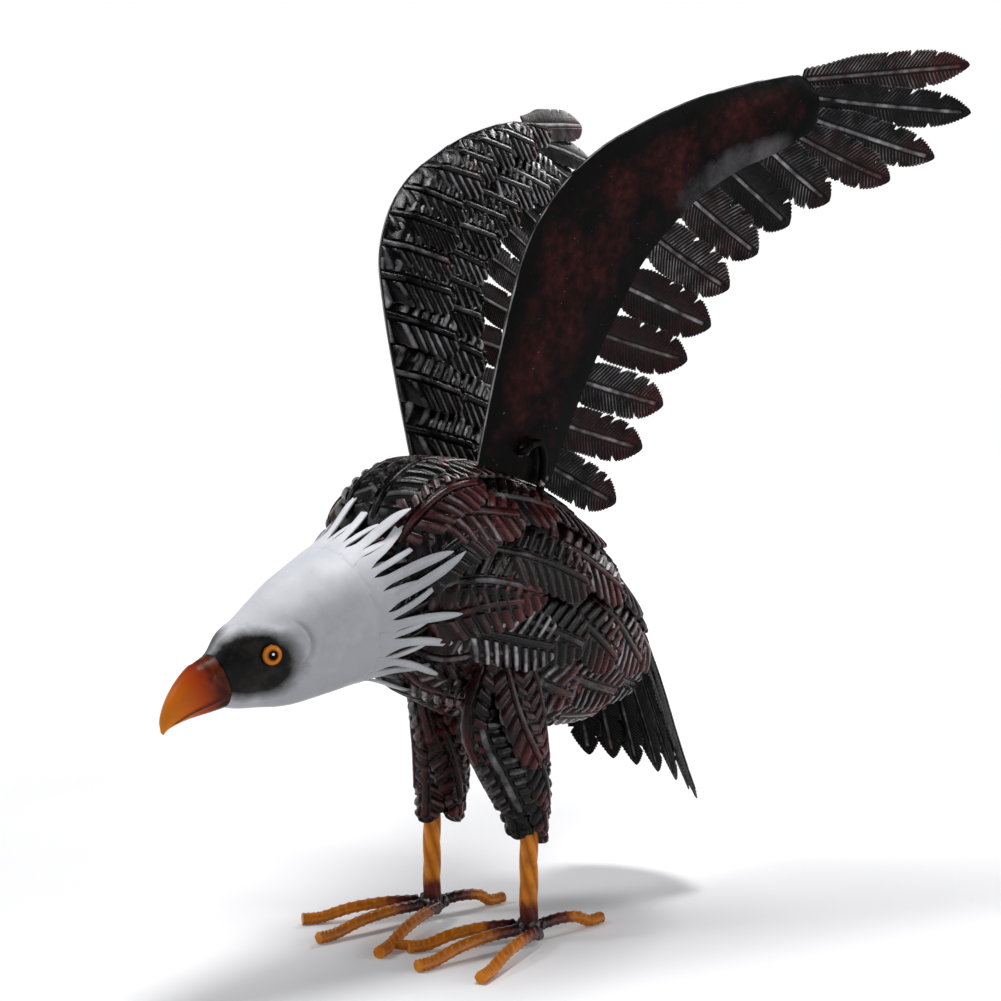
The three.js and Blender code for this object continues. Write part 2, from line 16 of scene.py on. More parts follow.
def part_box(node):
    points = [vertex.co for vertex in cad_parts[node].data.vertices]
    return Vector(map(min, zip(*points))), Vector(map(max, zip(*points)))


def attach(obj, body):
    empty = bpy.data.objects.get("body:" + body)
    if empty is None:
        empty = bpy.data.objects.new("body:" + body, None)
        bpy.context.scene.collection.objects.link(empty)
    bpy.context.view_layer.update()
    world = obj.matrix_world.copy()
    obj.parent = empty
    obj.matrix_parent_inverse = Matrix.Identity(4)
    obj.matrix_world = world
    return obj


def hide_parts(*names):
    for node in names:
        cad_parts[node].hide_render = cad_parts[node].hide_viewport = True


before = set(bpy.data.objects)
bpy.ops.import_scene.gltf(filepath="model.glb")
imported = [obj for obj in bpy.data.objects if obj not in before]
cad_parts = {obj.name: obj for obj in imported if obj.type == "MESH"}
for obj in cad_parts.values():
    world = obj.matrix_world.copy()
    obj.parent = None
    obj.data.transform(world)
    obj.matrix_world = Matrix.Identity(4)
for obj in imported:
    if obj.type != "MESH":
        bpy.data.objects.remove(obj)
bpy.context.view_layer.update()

# ---- dimensions of the solids
MM = 0.001
SHEET = 1.0
SIDES = (("left", 1), ("right", -1))

# Top Y, top Z, bottom Y, bottom Z, half width.
BODY_SECTIONS = [
    (-108, 264, -84, 178, 38), (-99, 281, -70, 166, 48),
    (-71, 298, -44, 154, 56), (-32, 298, -16, 143, 60),
    (6, 292, 12, 135, 61), (43, 278, 38, 131, 60),
    (75, 256, 66, 131, 57), (101, 228, 92, 134, 51),
    (121, 202, 114, 140, 42), (133, 185, 127, 149, 29),
    (137, 175, 134, 160, 13),
]
HEAD_SECTIONS = [
    (-216, 197, -207, 167, 13), (-207, 204, -198, 165, 19),
    (-194, 214, -187, 164, 24), (-178, 226, -169, 163, 30),
    (-160, 238, -148, 165, 35), (-140, 249, -122, 169, 39.5),
    (-118, 259, -96, 173, 43),
]
BEAK_SECTIONS = [
    (-216.4, 197.5, -207.4, 166.5, 13), (-227, 192.5, -217, 165, 11),
    (-237, 184, -229, 163.5, 8.5), (-244.5, 174, -238, 161.5, 5.5),
    (-248.5, 164, -244.5, 159, 2.6), (-248, 157.5, -247, 156.8, 0.7),
]
# White points: they leave the skin at SPIKE_START, and the skin itself stops at SKIN_END.
SPIKE_COUNT = 20
SPIKE_START = 0.84
SKIN_END = 0.885
SPIKE_WIDTH = 13
# Visible length, flare and lean of the white points, repeated round the neck.
SPIKES = [(34, 4, 0.1), (26, 9, -0.25), (40, 6, 0.2), (30, 12, -0.1), (46, 8, 0.3), (28, 5, -0.15)]
# A tucked point lies between two others: share of their length, its flare and width.
TUCKED = (0.55, -1.5, 8.5)
EYE_CENTER = np.array([22.6, -190, 196])
EYE_RADIUS = 6.2
EYE_DOME = 2.8
EYE_SKIRT = 4.0
EYE_TURN = 0.36

WING = Measures(root=30, root_z=303, flare=0.27, curl_y=-33, curl=0.0006)
PLATE_FRONT = [
    (-30, 299), (-30, 350), (-28, 402), (-23, 434), (-6, 465),
    (22, 492), (60, 514), (99, 532), (148, 548), (188, 558),
]
PLATE_BACK = [
    (38, 283), (47, 327), (59, 372), (69, 398), (79, 425),
    (98, 451), (118, 472), (147, 492), (178, 507), (208, 528),
]
PLATE_BULGE = 2.4
PLATE_CORNER = Measures(start=0.965, radius=9)
# Root Y and Z on the plate's back edge, visible length, droop in degrees, width.
FLIGHT_FEATHERS = [
    (204, 557, 118, -10, 27), (210, 544, 121, -1, 26),
    (214, 529, 98, 9, 26), (203, 516, 78, 15, 28),
    (180, 504, 58, 26, 32), (148, 489, 62, 27, 33),
    (118, 470, 70, 25, 33), (92, 444, 77, 21, 33),
    (73, 413, 86, 15, 32), (60, 382, 83, 10, 31),
    (53, 352, 77, 11, 30), (45, 324, 75, 12, 29),
    (38, 298, 73, 21, 29),
]
HIDDEN_ROOT = 18
FAN_FEATHERS = 4
FAN_TILT = 0.15
FLIGHT_TILT = 0.055
FLIGHT_OFFSET = 2.8
COVERT_OFFSET = 6.1

TAIL_COUNT = 7
TAIL_STEP = math.radians(15)
# The feathers' roots and tips lie on two arcs: centre's Y, radius, Z.
TAIL_TOP = (98, 48, 180)
TAIL_TIP = (126, 68, 73)
TAIL_WIDTH = 27
TAIL_TILT = 0.24
TAIL_ROLL = 0.2

LEGS = {"left": (46, -1.5), "right": (-40, 0)}
LEG_BOTTOM = 5
LEG_TOP = 84
TOE_RADIUS = 4
TOE_FLAT = 12
TOE_ARCH = [(0, 5.5), (0.3, 6.2), (0.6, 4.2)]
TOES = {
    "left": {
        "inner": ((36, -4), (7, -69)),
        "middle": ((44.5, -12), (38, -92)),
        "outer": ((56.3, -5), (81, -84)),
        "hind": ((47.5, 9), (53, 62)),
    },
    "right": {
        "inner": ((-30, -4), (2, -89)),
        "middle": ((-41, -10.5), (-48, -93)),
        "outer": ((-50.2, -3), (-88, -71)),
        "hind": ((-38.5, 10.5), (-27, 56)),
    },
}
# Height, centre Y, half width in X, half width in Y.
THIGHS = {
    "left": [
        (186, -20, 5, 22), (140, -26, 15, 30), (112, -17, 15, 23), (88, -8, 11, 14), (66, -2, 7, 7),
    ],
    "right": [
        (186, 1, 5, 17), (140, 5, 14, 18), (112, 9, 14, 16), (88, 9, 13, 13), (67, 7, 11, 12),
    ],
}

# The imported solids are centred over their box, so the layout's origin is found from a leg.
leg_low, leg_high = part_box("left_leg")
SHIFT = np.array([
    (leg_low.x + leg_high.x) / 2 / MM - LEGS["left"][0],
    (leg_low.y + leg_high.y) / 2 / MM - LEGS["left"][1],
    0.0,
])


# ---- vectors, curves and surfaces
def unit(v):
    return v / np.maximum(norm(v, axis=-1, keepdims=True), 1e-9)


def smooth(value, low, high):
    """0 below low, 1 above high, and a soft step between them."""
    t = np.clip((value - low) / (high - low), 0, 1)
    return t * t * (3 - 2 * t)


def bell(value, width):
    """1 where value is 0, falling softly to nothing about two widths away."""
    return np.exp(-((value / width) ** 2))


def mix(a, b, t):
    return a + (b - a) * t


def spline(points):
    """Centripetal Catmull-Rom curve. Its t runs from 0 to 1 evenly over the points."""
    p = np.asarray(points, float)
    ends = np.vstack([2 * p[0] - p[1], p, 2 * p[-1] - p[-2]])

    def at(t):
        s = np.clip(np.asarray(t, float), 0, 1) * (len(p) - 1)
        i = np.minimum(s.astype(int), len(p) - 2)
        w = (s - i)[..., None]
        a, b, c, d = (ends[i + k] for k in range(4))
        ab, bc, cd = (np.sqrt(norm(v, axis=-1))[..., None] for v in (b - a, c - b, d - c))
        leave = ((b - a) / ab - (c - a) / (ab + bc) + (c - b) / bc) * bc
        arrive = ((c - b) / bc - (d - b) / (bc + cd) + (d - c) / cd) * bc
        square = -3 * b + 3 * c - 2 * leave - arrive
        cube = 2 * b - 2 * c + leave + arrive
        return b + w * leave + w**2 * square + w**3 * cube

    return at


def oval_form(sections):
    """A surface whose sections are ovals. turn goes round it from the top."""
    rows = np.array(sections, float)
    top = spline(rows[:, 0:2])
    bottom = spline(rows[:, 2:4])
    width = spline(np.column_stack([rows[:, 4], np.arange(len(rows))]))

    def point(t, turn, grow=0.0):
        high = top(t)
        low = bottom(t)
        up = (high - low) / 2
        up = up + unit(up) * grow
        yz = (high + low) / 2 + up * np.cos(turn)[..., None]
        x = (width(t)[..., 0] + grow) * np.sin(turn)
        return np.stack([x, yz[..., 0], yz[..., 1]], -1)

    return point


def thigh_form(name):
    """A thigh's surface. t runs down it, and turn goes round it from the front."""
    profile = spline(THIGHS[name])

    def point(t, turn, grow=0.0):
        z, center_y, half_x, half_y = np.moveaxis(profile(t), -1, 0)
        x = LEGS[name][0] - (half_x + grow) * np.sin(turn)
        y = center_y - (half_y + grow) * np.cos(turn)
        return np.stack([x, y, z], -1)

    return point


def slopes(point, t, turn, step=0.004):
    """How a form's surface moves with t and with turn."""
    low = np.clip(t, 0, 1 - 2 * step)
    along = (point(low + 2 * step, turn) - point(low, turn)) / (2 * step)
    around = (point(t, turn + step) - point(t, turn - step)) / (2 * step)
    return along, around


def with_relief(point, t, turn, relief):
    """A form's surface pushed out by relief, and its directions outwards."""
    along, around = slopes(point, t, turn)
    normal = unit(np.cross(around, along))
    return point(t, turn) + normal * relief[..., None], normal


def round_grid(rows, columns, start=0.0, end=1.0):
    """t and turn at each point of a grid that goes once round a form."""
    turn = np.linspace(0, 2 * np.pi, columns, endpoint=False)
    return np.meshgrid(np.linspace(start, end, rows), turn, indexing="ij")


body = oval_form(BODY_SECTIONS)
head = oval_form(HEAD_SECTIONS)
beak = oval_form(BEAK_SECTIONS)
front_edge = spline(PLATE_FRONT)
back_edge = spline(PLATE_BACK)


def wing_point(side, y, z, offset):
    """A point over the wing sheet. offset goes inwards from the plate's outer face."""
    curl = WING.curl * np.maximum(0, y - WING.curl_y) ** 2
    x = WING.root + WING.flare * (z - WING.root_z) + curl - offset
    return np.stack([side * x, y, z], -1)


# ---- meshes: a shape is its points, its faces and its named values at the points
def numbers(rows, columns, start=0):
    """Point numbers in a grid."""
    return start + np.arange(rows * columns).reshape(rows, columns)


def grid_faces(index):
    """Four-sided faces between the neighbours in a grid of point numbers."""
    corners = (index[:-1, :-1], index[:-1, 1:], index[1:, 1:], index[1:, :-1])
    return np.stack(corners, -1).reshape(-1, 4)


def sheet_faces(front, back):
    """A sheet's front and back, which may differ in columns, and the walls down its sides."""
    left, right = (np.stack([front[:, k], back[:, k]]) for k in (0, -1))
    sides = (grid_faces(back)[:, ::-1], grid_faces(left)[:, ::-1], grid_faces(right))
    return np.vstack([grid_faces(front), *sides])


def outward(points, quads, caps=()):
    """All faces of a closed body as lists, turned so that they face out."""
    a, b, c, d = (points[quads[:, k]] - points.mean(0) for k in range(4))
    volume = np.sum(a * (np.cross(b, c) + np.cross(c, d)))
    faces = quads.tolist() + [cap.tolist() for cap in caps]
    return faces if volume > 0 else [face[::-1] for face in faces]


def closed_sweep(rings, **values):
    """A closed body through equal rings of points, with a flat cap at each end."""
    rows, columns, _ = rings.shape
    points = rings.reshape(-1, 3)
    index = numbers(rows, columns)
    quads = grid_faces(np.hstack([index, index[:, :1]]))
    faces = outward(points, quads, [index[0, ::-1], index[-1]])
    for key, value in values.items():
        values[key] = np.broadcast_to(value, (rows, columns)).reshape(-1)
    return points, faces, values


def swept_bar(path, size, **values):
    """A bar round a path. size is its radius at each point of a round_grid."""
    center = path(np.linspace(0, 1, len(size)))[:, None]
    ahead = unit(np.gradient(center, axis=0))
    side = unit(np.cross(ahead, (0.0, 0.0, 1.0)))
    up = np.cross(side, ahead)
    _, turn = round_grid(*size.shape)
    ring = side * np.cos(turn)[..., None] + up * np.sin(turn)[..., None]
    return closed_sweep(center + ring * size[..., None], **values)


def lump(center, size, rng):
    """One bead of weld metal."""
    polar, turn = round_grid(14, 20, 0.12, np.pi - 0.12)
    a, b = rng.uniform(0, 6.28, 2)
    wobble = 1 + 0.13 * np.sin(3 * turn + a) * np.sin(2 * polar + b) + 0.06 * np.sin(5 * turn + b)
    across = np.sin(polar)
    ball = np.stack([across * np.cos(turn), across * np.sin(turn), np.cos(polar)], -1)
    return closed_sweep(ball * wobble[..., None] * size + np.array(center))


def add_object(name, data):
    made = bpy.data.objects.new(name, data)
    bpy.context.scene.collection.objects.link(made)
    return made


def add_piece(name, shapes, material, stands_for=(), sharp=42):
    """Joins shapes into one object that rides on the frame."""
    points = np.vstack([shape[0] for shape in shapes])
    faces = []
    start = 0
    for shape in shapes:
        faces.extend([index + start for index in face] for face in shape[1])
        start += len(shape[0])
    mesh = bpy.data.meshes.new(name)
    mesh.from_pydata(((points + SHIFT) * MM).tolist(), [], faces)
    for key in shapes[0][2]:
        layer = mesh.attributes.new(key, "FLOAT", "POINT")
        layer.data.foreach_set("value", np.concatenate([shape[2][key] for shape in shapes]))
    mesh.shade_smooth()
    mesh.set_sharp_from_angle(angle=math.radians(sharp))
    mesh.materials.append(material)
    piece = add_object(name, mesh)
    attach(piece, "root")
    if stands_for:
        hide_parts(*stands_for)


# ---- materials
class Paint:
    """The nodes of a material, or of the world, with helpers that lay colours on each other."""

    def __init__(self, owner, shader):
        owner.use_nodes = True
        self.owner = owner
        self.tree = owner.node_tree
        self.shader = self.tree.nodes[shader]

    def feed(self, socket, value):
        """Gives a socket a number, a colour or the output of another node."""
        if isinstance(value, bpy.types.NodeSocket):
            self.tree.links.new(value, socket)
        else:
            socket.default_value = (*value, 1) if isinstance(value, tuple) else value

    def node(self, kind, **sockets):
        made = self.tree.nodes.new(kind)
        for name, value in sockets.items():
            self.feed(made.inputs[name], value)
        return made

    def shade(self, **sockets):
        """Feeds the shader. An underscore in a socket's name stands for a space."""
        for name, value in sockets.items():
            self.feed(self.shader.inputs[name.replace("_", " ")], value)

    def place(self, system="Object"):
        return self.node("ShaderNodeTexCoord").outputs[system]

    def value(self, name):
        """A named value that the mesh carries at its points."""
        made = self.node("ShaderNodeAttribute")
        made.attribute_name = name
        return made.outputs["Fac"]

    def noise(self, scale, detail=4.0, roughness=0.55):
        sockets = {"Scale": scale, "Detail": detail, "Roughness": roughness}
        return self.node("ShaderNodeTexNoise", Vector=self.place(), **sockets).outputs["Fac"]

    def ramp(self, source, stops):
        """Colours or greys at places from 0 to 1."""
        made = self.node("ShaderNodeValToRGB", Fac=source)
        elements = made.color_ramp.elements
        while len(elements) < len(stops):
            elements.new(0.5)
        for element, (place, color) in zip(elements, stops):
            element.position = place
            element.color = (*color, 1) if isinstance(color, tuple) else (color, color, color, 1)
        return made.outputs["Color"]

    def math(self, operation, *values):
        made = self.node("ShaderNodeMath")
        made.operation = operation
        for socket, value in zip(made.inputs, values):
            self.feed(socket, value)
        return made.outputs[0]

    def patchy(self, name, *noise):
        """A named value, broken up by noise."""
        return self.math("MULTIPLY", self.value(name), self.noise(*noise))

    def frayed(self, name, share, *noise):
        """A named value whose edge is frayed by a share of noise."""
        spray = self.math("MULTIPLY", self.noise(*noise), share)
        return self.math("MULTIPLY", self.math("ADD", self.value(name), spray), 0.6)

    def base(self, source, stops):
        self.color = self.ramp(source, stops)

    def layer(self, over, source, stops):
        """Lays a colour over the one so far, as thickly as the stops say for the source."""
        made = self.node("ShaderNodeMix")
        made.data_type = "RGBA"
        for name, value in (("Factor", self.ramp(source, stops)), ("A", self.color), ("B", over)):
            self.feed(made.inputs[name], value)
        self.color = made.outputs["Result"]

    def finish(self, height, strength, distance):
        """Joins the colour and a bump, with its distance in metres, to the shader."""
        bump = self.node("ShaderNodeBump", Height=height, Strength=strength, Distance=distance)
        self.shade(Base_Color=self.color, Normal=bump.outputs["Normal"])
        return self.owner


def new_paint(name, roughness, specular=0.5, metallic=0.0, coat=0.0):
    paint = Paint(bpy.data.materials.new(name), "Principled BSDF")
    paint.shade(Roughness=roughness, Specular_IOR_Level=specular, Metallic=metallic)
    paint.shade(Coat_Weight=coat, Coat_Roughness=0.2)
    return paint


BLACK = (0.0008, 0.0007, 0.0008)
SOOT = (0.0034, 0.0029, 0.0034)
DARK_RED = (0.08, 0.009, 0.01)
DEEP_RED = (0.012, 0.002, 0.002)
# Grey of the bar crests, midribs and cut rims: partly rubbed paint, partly a painted highlight.
RUB_AND_HIGHLIGHT_GREY = (0.3, 0.29, 0.302)
BARB_LINE_PITCH = 1.1


def feather_material(name, fine_barbs, roughness, specular):
    """Black lacquer, grey on the high parts as wear and as a painted highlight, with dark red
    sprayed over the tips.
    """
    paint = new_paint(name, roughness, specular)
    paint.base(paint.noise(34, 5), [(0.35, BLACK), (0.7, SOOT)])
    # Wear and painted highlight: grey laid over the crests, ribs and rims, broken up by noise.
    rub_highlight_mask = paint.patchy("worn", 75, 5, 0.6)
    paint.layer(RUB_AND_HIGHLIGHT_GREY, rub_highlight_mask, [(0.27, 0), (0.42, 0.26), (0.62, 1)])
    reddish = paint.ramp(paint.value("ridge"), [(0.0, DEEP_RED), (1.0, DARK_RED)])
    paint.layer(reddish, paint.patchy("tint", 85, 6, 0.65), [(0.15, 0), (0.55, 0.85)])
    dull = [(0.3, roughness - 0.09), (0.75, roughness + 0.16)]
    paint.shade(Roughness=paint.ramp(paint.noise(210, 4), dull))
    height = paint.noise(700, 5, 0.7)
    if fine_barbs:
        phase = paint.math("MULTIPLY", paint.value("along"), 2 * math.pi / BARB_LINE_PITCH)
        wave = paint.math("MULTIPLY", paint.math("SINE", phase), 0.35)
        height = paint.math("ADD", wave, height)
    return paint.finish(height, 0.35, 0.0006)


def plate_material():
    """Black lacquer with dark red sponged over the middle, a painted pale sheen towards the
    trailing edge, and a leading edge rubbed grey and painted bright as if it caught the light.
    """
    paint = new_paint("plate_lacquer", 0.42, 0.03)
    blacks = [(0.35, (0.0004, 0.0004, 0.0004)), (0.75, (0.0022, 0.0019, 0.0022))]
    paint.base(paint.noise(22, 5), blacks)
    red = paint.ramp(paint.noise(150, 6), [(0.36, DEEP_RED), (0.64, (0.04, 0.0075, 0.0075))])
    sponged = paint.patchy("tint", 27, 10, 0.74)
    paint.layer(red, sponged, [(0.43, 0), (0.53, 0.4), (0.64, 0.9)])
    # Painted sheen: a pale soft patch towards the trailing edge, standing in for a reflection.
    cloud = paint.patchy("cloud", 24, 8, 0.68)
    paint.layer((0.17, 0.163, 0.17), cloud, [(0.26, 0), (0.75, 0.65)])
    paint.layer((0.18, 0.14, 0.13), paint.noise(420, 2, 0.4), [(0.75, 0), (0.79, 0.6)])
    # The leading edge: rubbed grey, and a painted highlight of the edge catching the light.
    paint.layer((0.24, 0.23, 0.23), paint.patchy("edge", 60, 4), [(0.3, 0), (0.65, 1)])
    paint.shade(Roughness=paint.ramp(paint.noise(90, 6, 0.65), [(0.3, 0.27), (0.75, 0.52)]))
    return paint.finish(paint.noise(55, 5, 0.6), 0.3, 0.0012)


def head_material():
    """White paint with painted blue-grey shade on the sides and below, and black airbrushed round
    the eyes.
    """
    paint = new_paint("head_paint", 0.42, 0.14)
    paint.base(paint.noise(26, 5), [(0.34, (0.6, 0.62, 0.66)), (0.62, (0.72, 0.73, 0.76))])
    # Painted shade: blue-grey where the sheet faces sideways or down, frayed by noise.
    shade = paint.frayed("shade", 0.9, 24, 7, 0.62)
    paint.layer((0.3, 0.305, 0.325), shade, [(0.2, 0), (0.8, 1)])
    blacks = [(0.45, (0.002, 0.0018, 0.002)), (0.75, (0.02, 0.017, 0.014))]
    black = paint.ramp(paint.noise(90, 6, 0.65), blacks)
    spray = paint.frayed("dark", 0.8, 48, 8, 0.68)
    paint.layer(black, spray, [(0.3, 0), (0.52, 0.55), (0.74, 1)])
    return paint.finish(paint.noise(75, 5, 0.6), 0.22, 0.0012)


def beak_material():
    """Orange that darkens to its base, with a dark line at the gape and nostrils."""
    paint = new_paint("beak_paint", 0.38, 0.1)
    paint.base(paint.value("along"), [
        (0.0, (0.012, 0.003, 0.002)),
        (0.13, (0.05, 0.006, 0.003)),
        (0.3, (0.3, 0.035, 0.003)),
        (0.52, (0.46, 0.105, 0.005)),
        (1.0, (0.52, 0.175, 0.01)),
    ])
    paint.layer((0.3, 0.055, 0.006), paint.noise(110, 5, 0.6), [(0.48, 0), (0.75, 0.4)])
    paint.layer((0.03, 0.005, 0.004), paint.value("seam"), [(0.2, 0), (0.9, 0.85)])
    return paint.finish(paint.noise(160, 4, 0.6), 0.2, 0.0006)


def eye_material():
    """Black pupil with a painted white glint, amber iris and a dark rim."""
    paint = new_paint("eye_enamel", 0.06, 0.05)
    paint.base(paint.value("radius"), [
        (0.4, (0.001, 0.001, 0.001)),
        (0.47, (0.24, 0.055, 0.004)),
        (0.68, (0.5, 0.185, 0.015)),
        (0.86, (0.36, 0.09, 0.008)),
        (0.94, (0.006, 0.004, 0.004)),
    ])
    paint.layer((0.8, 0.8, 0.8), paint.value("glint"), [(0.35, 0), (0.65, 1)])
    paint.shade(Base_Color=paint.color)
    return paint.owner


def leg_material():
    """Yellow-orange lacquer, painted lighter on the raised flutes and ribs as a highlight, that
    darkens to brown and purple towards the ankle.
    """
    paint = new_paint("leg_lacquer", 0.32, 0.14)
    # Painted highlight: ridge makes the raised flutes and ribs lighter yellow, the parts between
    # darker orange.
    paint.base(paint.value("ridge"), [(0.0, (0.34, 0.09, 0.006)), (1.0, (0.62, 0.21, 0.012))])
    paint.layer((0.25, 0.07, 0.01), paint.noise(120, 5, 0.6), [(0.42, 0), (0.72, 0.6)])
    spray = paint.frayed("dark", 1.0, 130, 5)
    paint.layer((0.105, 0.018, 0.01), spray, [(0.32, 0), (0.6, 1)])
    paint.layer((0.012, 0.005, 0.008), spray, [(0.66, 0), (0.92, 1)])
    return paint.finish(paint.noise(300, 5, 0.6), 0.25, 0.0006)


def weld_material():
    """Bare weld metal, mottled from dark to grey."""
    paint = new_paint("weld_bead", 0.38, metallic=0.7, coat=0.2)
    paint.base(paint.noise(190, 5, 0.6), [
        (0.35, (0.022, 0.014, 0.016)),
        (0.52, (0.09, 0.07, 0.07)),
        (0.7, (0.3, 0.28, 0.28)),
    ])
    return paint.finish(paint.noise(240, 6, 0.7), 0.5, 0.0012)


EMBOSSED = feather_material("feather_embossed", False, 0.22, 0.16)
BARBED = feather_material("feather_barbed", True, 0.38, 0.07)
PLATE = plate_material()
HEAD = head_material()
BEAK = beak_material()
EYE_ENAMEL = eye_material()
LEG = leg_material()
WELD = weld_material()


# ---- one pressed steel feather
# root: share of the full width there, and of the length over which it grows to 1. tip: share
# of the length where the narrowing starts, and its two powers. pitch, bar: spacing and height
# of the bars. profile: one bar, as (share of the pitch, of the height). uneven, spread: how the
# spacing varies. rib_end: the midrib's distance from the tip. camber: drop of the sides.
# tooth: depth of the cuts between bars. full_back: the back repeats the front's relief.
EMBOSSED_STYLE = Measures(
    root=(0.85, 0.2), tip=(0.72, 2, 0.5),
    pitch=9.4, bar=1.7, uneven=0.05, spread=(0.8, 1.05),
    profile=[
        (0.0, 0), (0.16, 0), (0.28, 0.74), (0.44, 0.97),
        (0.6, 1), (0.76, 0.86), (0.88, 0.45), (0.95, 0),
    ],
    rib=1.7, rib_half=2.3, rib_end=5, rib_wear=(0.3, 0.8),
    camber=1.4, tooth=1.5, full_back=False,
)
BARBED_STYLE = Measures(
    root=(0.55, 0.35), tip=(0.55, 3.2, 0.8),
    pitch=3.0, bar=0.55, uneven=0.0, spread=(1.0, 1.0),
    profile=[(0.0, 0), (0.5, 1)],
    rib=1.2, rib_half=1.6, rib_end=7, rib_wear=(0.75, 1),
    camber=1.2, tooth=1.1, full_back=True,
)
# Grey on a feather's cut rim: wear and a painted highlight of the lit edge.
RIM_RUB_AND_HIGHLIGHT = 0.7
BARB_SLOPE = 0.62
NOTCH_HALF = 1.9
NOTCH_REST = 2.6
# Points across one side, from the midrib outwards: four on the rib, one in the groove, then the
# foot of the bars, the blade and the cut edge. Places are in half ribs, up to the bars' foot.
RIB_PLACES = np.array([0.0, 0.5, 0.84, 1.0, 1.35, 1.7])
BLADE_SHARES = np.array([0.5, 1.0])
RIB_HEIGHTS = np.array([1.0, 0.93, 0.6, 0.0, 0.0, 0.0, 0.0, 0.0, 0.0])
BAR_HEIGHTS = np.array([0.0, 0.0, 0.0, 0.0, 0.0, 1.0, 1.0, 1.0, 0.35])
CUT_EDGE = 1.1


def outline(s, style):
    """Share of the full width along a feather."""
    root, grown = style.root
    start, power, roundness = style.tip
    end = np.clip(1 - (np.maximum(s - start, 0) / (1 - start)) ** power, 0, 1) ** roundness
    return mix(root, 1.0, smooth(s, 0.0, grown)) * end


def barb_rows(length, style, rng):
    """Where each row of points leaves the midrib, and its share of the bars' height."""
    pitch = style.pitch * rng.uniform(*style.spread)
    places, rises = np.array(style.profile).T
    starts = np.arange(int(length / pitch) + 1)
    starts = starts + rng.uniform(-style.uneven, style.uneven, len(starts))
    middle = ((starts[:, None] + places) * pitch).reshape(-1)
    bar = np.tile(rises, len(starts))
    inside = (middle >= 0) & (middle < length - 1.2)
    return np.append(middle[inside], length - 0.35), np.append(bar[inside], 0.0)


def barb_reach(style, middle, half, length):
    """How far out the barb that leaves the midrib at middle meets the outline."""
    low = np.zeros_like(middle)
    high = np.full_like(middle, half)
    for _ in range(22):
        y = (low + high) / 2
        outside = y > half * outline((middle + BARB_SLOPE * y) / length, style)
        high = np.where(outside, y, high)
        low = np.where(outside, low, y)
    return np.maximum(low, 0.25)


def cut_notches(reach, middle, length, side, notches):
    """Each notch is (side, share of the length, depth). Some sheet is left by the midrib."""
    for notch_side, share, depth in notches:
        if notch_side == side:
            dip = np.clip(1 - np.abs(middle - share * length) / NOTCH_HALF, 0, 1)
            reach = np.maximum(reach - depth * dip, np.minimum(reach, NOTCH_REST))
    return reach


def side_columns(reach, rib_half):
    """Distances from the midrib of the points across one side of a feather."""
    ribs = RIB_PLACES * rib_half * np.minimum(1, reach / (2.6 * rib_half))[:, None]
    start = ribs[:, -1:]
    room = reach[:, None] - start
    last = 1 - np.minimum(0.45, CUT_EDGE / room)
    return np.hstack([ribs, start + room * last * BLADE_SHARES, reach[:, None]])


def feather(place, length, width, style, rng, red, rub_and_highlight, notches=()):
    """One feather of pressed sheet. place(along, across, height) puts its points in the bird.

    Rows of points follow the slanted barbs, so ridges, grooves and notches lie along them.
    """
    middle, bar = barb_rows(length, style, rng)
    full = barb_reach(style, middle, width / 2, length)
    tooth = style.tooth * (1 - bar) * smooth(length - middle, 3, 12)
    toothed = full - np.minimum(tooth, full * 0.3)
    reaches = [cut_notches(toothed, middle, length, side, notches) for side in (-1, 1)]
    right, left = (side_columns(reach, style.rib_half) for reach in reaches)
    y = np.hstack([-right[:, :0:-1], left])
    rib_height = np.append(RIB_HEIGHTS[:0:-1], RIB_HEIGHTS)
    bar_height = np.append(BAR_HEIGHTS[:0:-1], BAR_HEIGHTS)
    slant = BARB_SLOPE * smooth(middle, -4, 16)
    x = middle[:, None] + slant[:, None] * np.abs(y)

    rib = rib_height * smooth(length - style.rib_end - x, -1.5, 0.5)
    barb = bar[:, None] * bar_height * smooth(np.abs(y[:, :1]), 1.0, 4.0)
    wave = 0.5 * np.sin(x / 17 + rng.uniform(0, 6.28))
    sheet = wave - style.camber * (2 * y / width) ** 2
    height = sheet + style.rib * rib + style.bar * barb

    rows, count = x.shape
    back_columns = np.arange(count) if style.full_back else np.array([0, count // 2, count - 1])
    back_height = (height if style.full_back else sheet)[:, back_columns]
    top = place(x, y, height + SHEET)
    under = place(x[:, back_columns], y[:, back_columns], back_height)
    points = np.vstack([top.reshape(-1, 3), under.reshape(-1, 3)])
    front = numbers(rows, count)
    back = numbers(rows, len(back_columns), rows * count)
    first, last = (np.append(front[row], back[row, ::-1]) for row in (0, -1))
    faces = outward(points, sheet_faces(front, back), [first, last[::-1]])

    tip_red = smooth(x / length, 0.55, 1.0) * rng.uniform(0.0, 1.0)
    flush = rng.uniform(0.1, 0.62)
    # The grey on the midrib, bar crests and cut rim is partly wear and partly a painted highlight
    # where light would catch them.
    rim = np.abs(y) > 0.97 * np.where(y < 0, right[:, -1:], left[:, -1:])
    rib_rubbed_and_lit = rib * rng.uniform(*style.rib_wear)
    bars_rubbed_and_lit = barb**3 * rub_and_highlight * rng.uniform(0.4, 1.25)
    rubbed_and_lit = np.maximum(np.maximum(rib_rubbed_and_lit, bars_rubbed_and_lit), rim * RIM_RUB_AND_HIGHLIGHT)
    fields = {
        "tint": np.clip(red * (tip_red + flush), 0, 1),
        "worn": np.clip(rubbed_and_lit, 0, 1),
        "ridge": np.clip(np.maximum(rib, barb), 0, 1),
        "along": np.broadcast_to(middle[:, None], x.shape),
    }
    values = {key: np.append(field, field[:, back_columns]) for key, field in fields.items()}
    return points, faces, values


